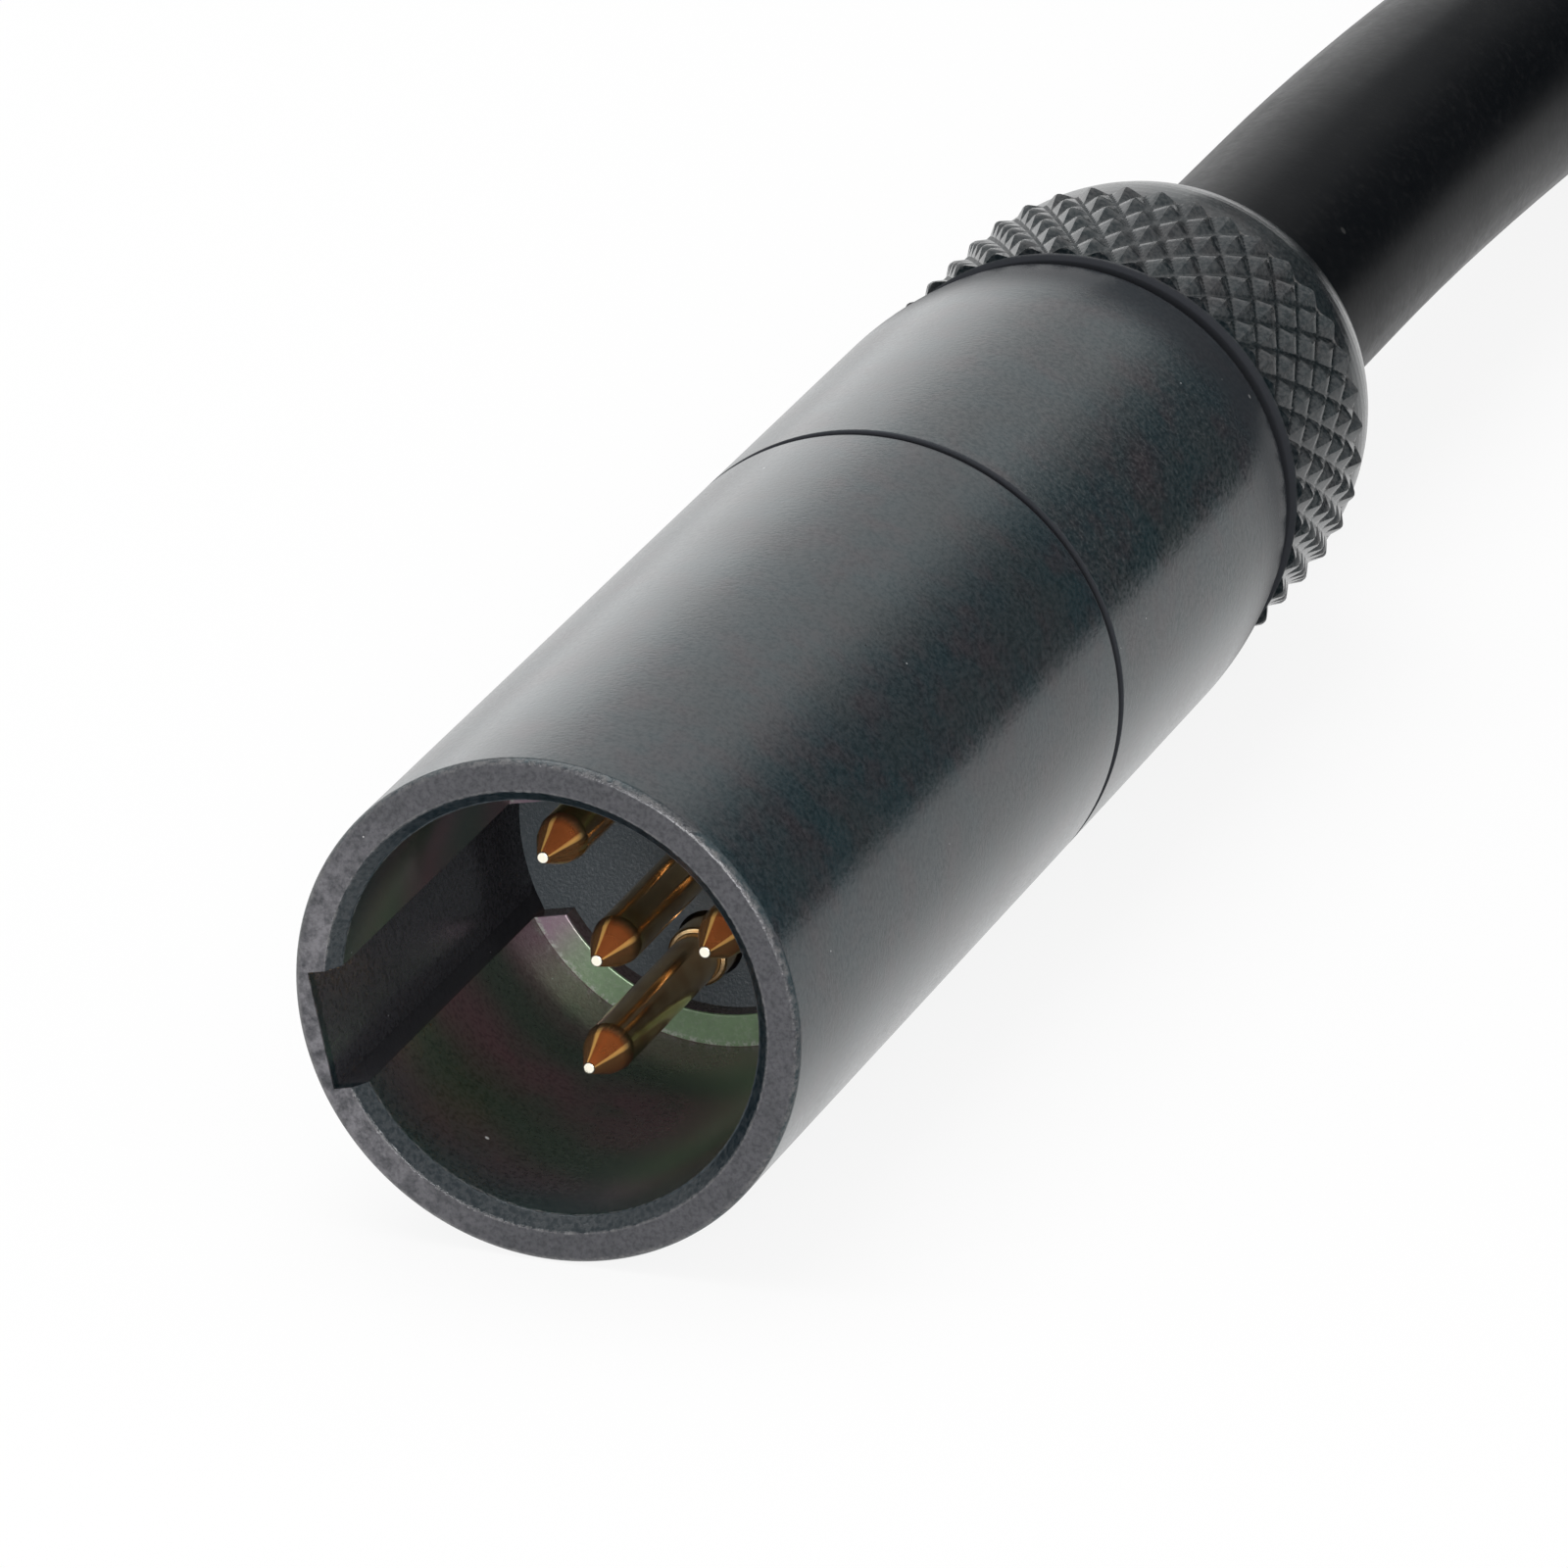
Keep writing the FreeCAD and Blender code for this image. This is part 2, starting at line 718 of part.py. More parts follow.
def make_solder_joints(label):
    """The solder that fills each cup round its strands, one bead for each contact."""
    floor = insulator_back.value + size.cup_floor.value
    cup_back = insulator_back.value + size.cup_length.value
    radius = size.cup_bore.value - size.fit_gap.value / 3
    strand = size.strand_radius.value
    crown = size.solder_crown.value
    beads = []
    for across, up, angle in pin_places():
        base = Vector(across, floor, up)
        top = Vector(across, cup_back, up)
        fill = Part.makeCylinder(radius, cup_back - floor, base, Vector(0, 1, 0))
        cone = Part.makeCone(radius, strand + size.fit_gap.value, crown, top, Vector(0, 1, 0))
        hole = Part.makeCylinder(
            strand,
            cup_back - floor + crown,
            base + Vector(0, size.strand_inset.value, 0),
            Vector(0, 1, 0),
        )
        beads.append(fill.fuse(cone).cut(hole))
    solder = doc.addObject("Part::Feature", label)
    solder.Shape = Part.makeCompound(beads)
    return solder


def plug_placement(position, key_angle):
    """Lays a plug at a position, with its key groove turned from +X towards +Z."""
    turn = FreeCAD.Rotation(Vector(0, 1, 0), -key_angle)
    return FreeCAD.Placement(position, turn)


def make_plug(prefix, placement):
    """Builds every piece of one plug and lays it at its placement."""
    pieces = [
        make_mating_shell(f"{prefix}mating_shell"),
        make_insulator(f"{prefix}insulator"),
        make_rear_barrel(f"{prefix}rear_barrel"),
        make_insulating_sleeve(f"{prefix}insulating_sleeve"),
        make_cable_collet(f"{prefix}cable_collet"),
        make_knurled_nut(f"{prefix}knurled_nut"),
        make_solder_joints(f"{prefix}solder_joints"),
    ]
    for number in range(len(BUNDLE_ANGLES)):
        pieces.append(make_wire(f"{prefix}wire_{number + 1}", number))
    for piece in pieces:
        piece.Placement = placement
    for number, (across, up, angle) in enumerate(pin_places()):
        pin = make_contact_pin(f"{prefix}contact_pin_{number + 1}")
        own_place = plug_placement(Vector(across, 0, up), angle)
        pin.Placement = placement.multiply(own_place)
        pieces.append(pin)
    return pieces


# The cable

def near_route():
    """The stretch that the camera sees: straight out of the plug, then down to the surface."""
    resting = cable_radius.value - size.shell_radius.value
    start = size.jacket_start.value
    end = size.coil_centre.value - size.coil_lead.value
    return [
        Vector(0, start, 0),
        Vector(0, size.drop_start.value, 0),
        Vector(0, size.drop_end.value, resting),
        Vector(0, end, resting),
    ]


def far_route():
    """From the upper layer of the coil down into the far plug."""
    side = size.coil_track.value * 2
    above = cable_radius.value * 3 - size.shell_radius.value
    end = size.coil_centre.value - size.coil_lead.value
    start = size.far_offset.value + size.jacket_start.value
    return [
        Vector(side, start, 0),
        Vector(side, size.far_drop_start.value, 0),
        Vector(side, size.far_drop_end.value, above),
        Vector(side, end, above),
    ]


def make_cable_tube(label, points):
    tube = doc.addObject("Part::Feature", label)
    tube.Shape = tube_along(rounded_path(points, label), cable_radius.value)
    return tube


def make_coil(label):
    """The outer shape of the coiled stretch, with the two short leads that run into it."""
    outside = size.coil_track + cable_radius + size.coil_slack
    inside = (
        size.coil_track - size.coil_spacing * size.coil_layer_turns
        - cable_radius - size.coil_slack
    )
    height = cable_radius * 4 + size.coil_slack
    corner = cable_radius
    ring = new_body(f"{label}_ring")
    revolve(ring, [
        (inside + corner, ZERO, corner),
        (outside - corner, ZERO),
        (outside, corner, corner),
        (outside, height - corner),
        (outside - corner, height, corner),
        (inside + corner, height),
        (inside, height - corner, corner),
        (inside, corner),
    ], "XZ_Plane")
    ring.setExpression("Placement.Base.x", size.coil_track.text)
    ring.setExpression("Placement.Base.y", size.coil_centre.text)
    ring.setExpression("Placement.Base.z", f"-{size.shell_radius.text}")
    leads = []
    for name, side, centre in (
        ("entry", ZERO, cable_radius - size.shell_radius),
        ("exit", size.coil_track * 2, cable_radius * 3 - size.shell_radius),
    ):
        lead = doc.addObject("Part::Cylinder", f"{label}_{name}")
        lead.Placement = FreeCAD.Placement(Vector(), FreeCAD.Rotation(Vector(1, 0, 0), -90))
        lead.setExpression("Radius", cable_radius.text)
        lead.setExpression("Height", size.coil_lead.text)
        lead.setExpression("Placement.Base.x", side.text)
        lead.setExpression("Placement.Base.y", (size.coil_centre - size.coil_lead).text)
        lead.setExpression("Placement.Base.z", centre.text)
        leads.append(lead)
    coil = doc.addObject("Part::MultiFuse", label)
    coil.Shapes = [ring] + leads
    return coil


def stop_if_faulty(pieces):
    """Stops before anything is written if a feature failed or a piece isn't a valid solid."""
    for item in doc.Objects:
        if "Invalid" in item.State or "Error" in item.State:
            raise RuntimeError(f"{item.Name} did not recompute: {item.State}")
    for piece in pieces:
        shape = piece.Shape
        if shape.isNull() or not shape.isValid() or not shape.Solids:
            raise RuntimeError(f"{piece.Label} is not a valid solid")


def main():
    near_place = plug_placement(Vector(0, 0, 0), size.key_angle.value)
    far_position = Vector(size.coil_track.value * 2, size.far_offset.value, 0)
    far_place = plug_placement(far_position, size.far_key_angle.value)
    pieces = make_plug("", near_place) + make_plug("far_", far_place)
    pieces.append(make_cable_tube("cable", near_route()))
    pieces.append(make_cable_tube("cable_tail", far_route()))
    pieces.append(make_coil("cable_coil"))
    doc.recompute()
    stop_if_faulty(pieces)
    os.makedirs("parts", exist_ok=True)
    for piece in pieces:
        piece.Shape.exportStep(f"parts/{piece.Label}.step")
        solids = len(piece.Shape.Solids)
        print(piece.Label, "solids", solids, "volume", round(piece.Shape.Volume, 3))


main()
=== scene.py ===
"""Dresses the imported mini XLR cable: camera and light, the cable, and the pieces of both plugs.

Lengths are in millimetres up to the point where a mesh is made, and in metres from there on.
"""

import logging
import math
from dataclasses import dataclass, field
from enum import Enum
from typing import Iterable, Sequence

import bmesh
import bpy
from mathutils import Matrix, Vector


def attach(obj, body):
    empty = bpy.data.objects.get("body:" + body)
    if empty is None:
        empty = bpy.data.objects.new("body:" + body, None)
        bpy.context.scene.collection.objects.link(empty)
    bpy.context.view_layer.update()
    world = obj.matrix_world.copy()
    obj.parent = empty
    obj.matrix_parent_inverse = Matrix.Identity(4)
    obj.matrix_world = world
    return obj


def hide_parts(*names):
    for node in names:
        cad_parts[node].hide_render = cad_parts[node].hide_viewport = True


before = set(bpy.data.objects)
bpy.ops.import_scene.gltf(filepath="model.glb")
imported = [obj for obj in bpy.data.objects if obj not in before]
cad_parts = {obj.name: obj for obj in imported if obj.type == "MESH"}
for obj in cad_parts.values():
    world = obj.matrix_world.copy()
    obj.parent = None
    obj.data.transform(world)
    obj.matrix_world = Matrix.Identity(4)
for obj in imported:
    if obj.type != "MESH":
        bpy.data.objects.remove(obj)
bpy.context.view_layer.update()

MM = 0.001
TURNING = "turning"
ROOT_BODY = "plug_and_cable"
LOG = logging.getLogger("mini_xlr_cable")

Colour = tuple[float, float, float]
Spot = tuple[float, float, float]
Point = tuple[float, float]
WHITE = (1.0, 1.0, 1.0)
MATT = {"Roughness": 0.9, "IOR": 1.0}


def linear(red: float, green: float, blue: float) -> Colour:
    """Turns a display colour of 0 to 255 into the linear one that a shader takes."""
    shares = (red / 255, green / 255, blue / 255)
    return tuple(s / 12.92 if s <= 0.04045 else ((s + 0.055) / 1.055) ** 2.4 for s in shares)


def put(name: str, data: bpy.types.ID) -> bpy.types.Object:
    """Puts a mesh, curve, lamp or camera in the scene.

    Args:
        name: the object's name.
        data: what the object holds.

    Returns:
        The object.
    """
    item = bpy.data.objects.new(name, data)
    bpy.context.scene.collection.objects.link(item)
    return item


# Node trees written as expressions

class Signal:
    """A value of a node tree. Arithmetic on it adds Math nodes to the tree."""

    def __init__(self, board: "Board", socket: bpy.types.NodeSocket) -> None:
        """Wraps an output socket of a board."""
        self.board = board
        self.socket = socket

    def math(self, operation: str, *others: "Signal | float", clamp: bool = False) -> "Signal":
        """Adds one Math node whose first input is this value."""
        return self.board.math(operation, self, *others, clamp=clamp)

    def __add__(self, other: "Signal | float") -> "Signal":
        """Adds."""
        return self.math("ADD", other)

    def __radd__(self, other: float) -> "Signal":
        """Adds this to a number."""
        return self.board.math("ADD", other, self)

    def __sub__(self, other: "Signal | float") -> "Signal":
        """Takes away."""
        return self.math("SUBTRACT", other)

    def __rsub__(self, other: float) -> "Signal":
        """Takes this away from a number."""
        return self.board.math("SUBTRACT", other, self)

    def __mul__(self, other: "Signal | float") -> "Signal":
        """Multiplies."""
        return self.math("MULTIPLY", other)

    def __truediv__(self, other: "Signal | float") -> "Signal":
        """Divides."""
        return self.math("DIVIDE", other)

    def __abs__(self) -> "Signal":
        """Takes the size without its sign."""
        return self.math("ABSOLUTE")

    def __gt__(self, limit: "Signal | float") -> "Signal":
        """Gives 1 above a limit and 0 elsewhere."""
        return self.math("GREATER_THAN", limit)

    def __lt__(self, limit: "Signal | float") -> "Signal":
        """Gives 1 below a limit and 0 elsewhere."""
        return self.math("LESS_THAN", limit)

    def root(self) -> "Signal":
        """Takes the square root."""
        return self.math("SQRT")

    def fraction(self) -> "Signal":
        """Takes what is past the whole number below."""
        return self.math("FRACT")

    def held(self) -> "Signal":
        """Holds the value between 0 and 1."""
        return self.math("ADD", 0.0, clamp=True)

    def rise(self, start: float, end: float) -> "Signal":
        """Rises smoothly from 0 at start to 1 at end.

        Args:
            start: the value that gives 0.
            end: the value that gives 1, which may be the lower one.

        Returns:
            The smooth step.
        """
        inputs = {"Value": self, "From Min": min(start, end), "From Max": max(start, end)}
        step = self.board.value("ShaderNodeMapRange", inputs, "Result", interpolation_type="SMOOTHSTEP")
        return step if start < end else 1 - step


class Board:
    """A node tree under construction, for a shader or for geometry."""

    def __init__(self, tree: bpy.types.NodeTree) -> None:
        """Takes the tree, which starts empty."""
        self.tree = tree
        self.tree.nodes.clear()

    def place(self, kind: str, settings: dict | None = None, inputs: dict | None = None) -> bpy.types.Node:
        """Adds a node.

        Args:
            kind: the node's type.
            settings: its own settings, set first.
            inputs: the value or link of each socket, by identifier, name or place.

        Returns:
            The node.
        """
        node = self.tree.nodes.new(kind)
        for name, value in (settings or {}).items():
            setattr(node, name, value)
        for key, value in (inputs or {}).items():
            socket = self._find(node.inputs, key)
            if isinstance(value, Signal):
                self.tree.links.new(value.socket, socket)
            elif isinstance(value, tuple) and len(value) == 3 and socket.type == "RGBA":
                socket.default_value = (*value, 1.0)
            else:
                socket.default_value = value
        return node

    @staticmethod
    def _find(sockets: Iterable[bpy.types.NodeSocket], key: str | int) -> bpy.types.NodeSocket:
        """Finds a socket by place, identifier or name.

        Args:
            sockets: a node's inputs or outputs.
            key: which one.

        Returns:
            The socket.
        """
        found = list(sockets)
        if isinstance(key, int):
            return found[key]
        for attribute in ("identifier", "name"):
            for socket in found:
                if getattr(socket, attribute) == key and socket.enabled:
                    return socket
        raise KeyError(f"no socket {key}")

    def signal(self, node: bpy.types.Node, key: str | int = 0) -> Signal:
        """Wraps one output of a node."""
        return Signal(self, self._find(node.outputs, key))

    def value(self, kind: str, inputs: dict | None = None, key: str | int = 0, **settings: object) -> Signal:
        """Adds a node, as place does, and wraps one of its outputs."""
        return self.signal(self.place(kind, settings, inputs), key)

    def math(self, operation: str, *values: Signal | float, clamp: bool = False) -> Signal:
        """Adds one Math node with its inputs in order."""
        return self.value("ShaderNodeMath", dict(enumerate(values)), operation=operation, use_clamp=clamp)

    def split(self, vector: Signal) -> tuple[Signal, Signal, Signal]:
        """Splits a vector into its three parts."""
        node = self.place("ShaderNodeSeparateXYZ", None, {0: vector})
        return self.signal(node, 0), self.signal(node, 1), self.signal(node, 2)

    def blend(self, share: Signal, first: Signal, second: Signal) -> Signal:
        """Mixes two shaders, with a share of the second."""
        return self.value("ShaderNodeMixShader", {0: share, 1: first, 2: second})


@dataclass(frozen=True)
class Noise:
    """A soft noise.

    Its numbers are the features in a millimetre, the count of finer layers, a place in the
    pattern, so that two noises differ, and how strong the finer layers are.
    """

    scale: float
    detail: float = 2.0
    shift: float = 0.0
    roughness: float = 0.5


@dataclass(frozen=True)
class Specks:
    """Scattered round specks.

    Its numbers are the cells in a millimetre, the share of them that hold a speck, a speck's
    radius as a share of a cell, and a place in the pattern.
    """

    scale: float
    share: float
    size: float
    shift: float


@dataclass(frozen=True)
class Place:
    """How a plug lies: where its mating mouth is, and how far its key groove is turned."""

    position: Spot = (0.0, 0.0, 0.0)
    key_angle: float = 0.0

    def matrix(self) -> Matrix:
        """Gives the transform from the plug's own frame to the row frame, both in metres."""
        turn = Matrix.Rotation(-math.radians(self.key_angle), 4, "Y")
        return Matrix.Translation(Vector(self.position) * MM) @ turn


class Paint(Board):
    """A material under construction, with its coordinates in millimetres of its own plug."""

    def __init__(self, name: str, place: Place) -> None:
        """Starts a material for pieces that lie at a place.

        Args:
            name: the material's name.
            place: where the piece's own frame lies.
        """
        self.material = bpy.data.materials.new(name)
        self.material.use_nodes = True
        super().__init__(self.material.node_tree)
        inputs = {
            "Vector": self.value("ShaderNodeTexCoord", None, "Object"),
            "Location": tuple(v * MM for v in place.position),
            "Rotation": (0.0, -math.radians(place.key_angle), 0.0),
            "Scale": (MM, MM, MM),
        }
        self.coords = self.value("ShaderNodeMapping", inputs, vector_type="TEXTURE")
        self.across, self.along, self.up = self.split(self.coords)
        self.radius = (self.across * self.across + self.up * self.up).root()

    def noise(self, layer: Noise) -> Signal:
        """Adds soft noise.

        Args:
            layer: its numbers.

        Returns:
            The noise, about 0.5.
        """
        inputs = {"Vector": self.coords, "W": layer.shift, "Scale": layer.scale}
        inputs.update({"Detail": layer.detail, "Roughness": layer.roughness})
        return self.value("ShaderNodeTexNoise", inputs, noise_dimensions="4D")

    def specks(self, layer: Specks) -> Signal:
        """Adds scattered round specks.

        Args:
            layer: their numbers.

        Returns:
            1 on a speck and 0 elsewhere.
        """
        inputs = {"Vector": self.coords, "W": layer.shift, "Scale": layer.scale}
        cells = self.place("ShaderNodeTexVoronoi", {"voronoi_dimensions": "4D"}, inputs)
        pick = self.value("ShaderNodeSeparateColor", {0: self.signal(cells, "Color")})
        near = self.signal(cells, "Distance").rise(layer.size, layer.size * 0.6)
        return near * (pick < layer.share)

    def mix(self, share: Signal | float, first: Signal | Colour, second: Signal | Colour) -> Signal:
        """Mixes two colours, with a share of the second."""
        inputs = {"Factor_Float": share, "A_Color": first, "B_Color": second}
        return self.value("ShaderNodeMix", inputs, "Result_Color", data_type="RGBA")

    def edge(self, radius: float, along: float, width: float) -> Signal:
        """Marks a narrow band round one turned edge.

        Args:
            radius: the edge's radius.
            along: the edge's place along the plug.
            width: how far the band reaches from the edge.

        Returns:
            1 at the edge, falling to 0.
        """
        aside = self.radius - radius
        ahead = self.along - along
        return (aside * aside + ahead * ahead).root().rise(width, width * 0.25)

    def finish(
        self,
        colour: Signal | Colour,
        roughness: Signal | float,
        height: Signal | None = None,
        shade_matt_layer: tuple[Signal, Colour] | None = None,
        **constants: float | Colour,
    ) -> bpy.types.Material:
        """Ends the material in a Principled shader.

        Args:
            colour: the base colour.
            roughness: the roughness.
            height: the relief in millimetres, or None.
            shade_matt_layer: where a matt layer paints shade, and the colour there, or None.
            constants: the shader's other sockets, with _ for a space.

        Returns:
            The material.
        """
        inputs = {"Base Color": colour, "Roughness": roughness}
        inputs.update({name.replace("_", " "): value for name, value in constants.items()})
        if height is not None:
            relief = {"Strength": 1.0, "Distance": MM, "Height": height}
            inputs["Normal"] = self.value("ShaderNodeBump", relief)
        shader = self.value("ShaderNodeBsdfPrincipled", inputs)
        # A matt layer over the shader paints shade where it is asked for.
        if shade_matt_layer is not None:
            share, tone = shade_matt_layer
            matt = self.value("ShaderNodeBsdfPrincipled", {"Base Color": tone, **MATT})
            shader = self.blend(share, shader, matt)
        self.place("ShaderNodeOutputMaterial", None, {"Surface": shader})
        return self.material


# Finishes

@dataclass(frozen=True)
class Finish:
    """A surface finish. Each kind paints itself for the place of its piece."""

    name: str
    slot: str

    def start(self, place: Place) -> Paint:
        """Starts this finish's material for a place."""
        return Paint(f"{self.name}_{place.key_angle:.0f}", place)

    def paint(self, place: Place) -> bpy.types.Material:
        """Makes the material for a piece that lies at a place."""
        raise NotImplementedError(self.name)


@dataclass(frozen=True)
class BlackOxide(Finish):
    """The dark satin coating of the turned metal, worn pale along its edges.

    An edge is its radius, its place along the plug and the reach of its wear. Painted shade lies as a matt
    dark layer in bands between two places along the plug, in the gaps between pieces, and as painted shade
    that thickens from one place to another towards the end of the barrel's taper. A share says how much of a
    colour a layer lays on, and a gloss how far it changes the roughness.
    """

    tone: Colour = (0.015, 0.024, 0.028)
    cool: Colour = (0.009, 0.024, 0.030)
    warm: Colour = (0.027, 0.020, 0.025)
    worn: Colour = (0.16, 0.155, 0.15)
    dust: Colour = (0.75, 0.75, 0.75)
    pit: Colour = (0.006, 0.007, 0.008)
    roughness: float = 0.22
    density: float = 1.5
    edges: tuple[tuple[float, float, float], ...] = ()
    # Painted shade: bands where a matt dark layer darkens the gaps between pieces.
    gap_shade_bands: tuple[Point, ...] = ()
    painted_shade_tone: Colour = (0.032, 0.034, 0.039)
    gap_shade_radius: float = 4.3
    # Painted shade: a matt dark layer that thickens towards the end of the barrel's taper.
    taper_shade: Point = (1000.0, 1001.0)
    taper_shade_depth: float = 0.72
    blotches: Noise = Noise(0.55, 3.0, 1.0)
    drifts: Noise = Noise(1.1, 3.0, 5.0)
    grains: Noise = Noise(11.0, 3.0, 2.0, 0.7)
    sands: Noise = Noise(10.0, 2.0, 9.0, 0.6)
    scuffs: Noise = Noise(5.0, 4.0, 7.0, 0.75)
    pits: Specks = Specks(2.4, 0.08, 0.09, 3.0)
    dusts: Specks = Specks(1.5, 0.2, 0.085, 8.0)
    lints: Specks = Specks(4.5, 0.05, 0.1, 12.0)
    warm_share: float = 0.7
    wear_share: float = 0.8
    sand_share: float = 0.15
    pit_share: float = 0.8
    lint_share: float = 0.6
    sand_metal: float = 0.32
    sand_gloss: float = 0.15
    blotch_gloss: float = 0.08
    dust_gloss: float = 0.3
    grain_height: float = 0.002
    sand_height: float = 0.0035
    pit_depth: float = 0.006
    wear_depth: float = 0.012

    def paint(self, place: Place) -> bpy.types.Material:
        """Makes the coating, with specks of dust, pits, worn edges, and painted shade in its gaps and at the
        end of the taper.

        Args:
            place: where the piece's own frame lies.

        Returns:
            The material.
        """
        paint = self.start(place)
        blotch = paint.noise(self.blotches)
        drift = paint.noise(self.drifts)
        grain = paint.noise(self.grains)
        sand = paint.noise(self.sands)
        colour = paint.mix(blotch.rise(0.35, 0.65), self.cool, self.tone)
        colour = paint.mix(drift.rise(0.42, 0.75) * self.warm_share, colour, self.warm)
        colour = self.over(paint, colour, grain)
        scuff = paint.noise(self.scuffs)
        wear = self.wear(paint) * scuff.rise(0.4, 0.66)
        colour = paint.mix(wear * self.wear_share, colour, self.worn)
        pits, dust, lint = (paint.specks(layer) for layer in (self.pits, self.dusts, self.lints))
        colour = paint.mix(sand.rise(0.4, 0.72) * self.sand_share, colour, self.worn)
        colour = paint.mix(pits * self.pit_share, colour, self.pit)
        colour = paint.mix(lint * self.lint_share, colour, self.dust)
        colour = paint.mix(dust, colour, self.dust)
        roughness = self.roughness + (sand - 0.5) * self.sand_gloss + (blotch - 0.5) * self.blotch_gloss
        roughness = roughness + dust * self.dust_gloss
        height = grain * self.grain_height + sand * self.sand_height
        height = height - pits * self.pit_depth - wear * self.wear_depth
        # A matt dark layer paints shade in the gaps and at the taper's end.
        shade_matt_layer = (self.painted_shade_share(paint), self.painted_shade_tone)
        metal = paint.math("MAXIMUM", sand.rise(0.54, 0.34) * self.sand_metal, self.bare(paint))
        return paint.finish(colour, roughness.held(), height, shade_matt_layer, Metallic=metal, IOR=self.density)

    def painted_shade_share(self, paint: Paint) -> Signal:
        """Marks the painted shade: the gaps between pieces and the end of the taper, where a matt dark layer
        takes away the gloss.

        Args:
            paint: the material under construction.

        Returns:
            1 where full shade is painted, 0 where none is painted.
        """
        # Painted shade towards the taper's end, then in each gap between pieces.
        share = paint.along.rise(*self.taper_shade) * self.taper_shade_depth
        for start, end in self.gap_shade_bands:
            band = paint.along.rise(start - 0.05, start + 0.03) * paint.along.rise(end + 0.05, end - 0.03)
            share = paint.math("MAXIMUM", share, band * (paint.radius > self.gap_shade_radius))
        return share

    def wear(self, paint: Paint) -> Signal:
        """Marks where the coating is rubbed.

        Args:
            paint: the material under construction.

        Returns:
            1 where it may be rubbed, 0 elsewhere.
        """
        wear, *others = [paint.edge(*edge) for edge in self.edges]
        for mark in others:
            wear = paint.math("MAXIMUM", wear, mark)
        return wear

    def over(self, paint: Paint, colour: Signal, grain: Signal) -> Signal:
        """Lays other colours over the coating. A plain turned piece has none."""
        return colour

    def bare(self, paint: Paint) -> Signal | float:
        """Says where bare metal shows. A plain turned piece has none."""
        return 0.0


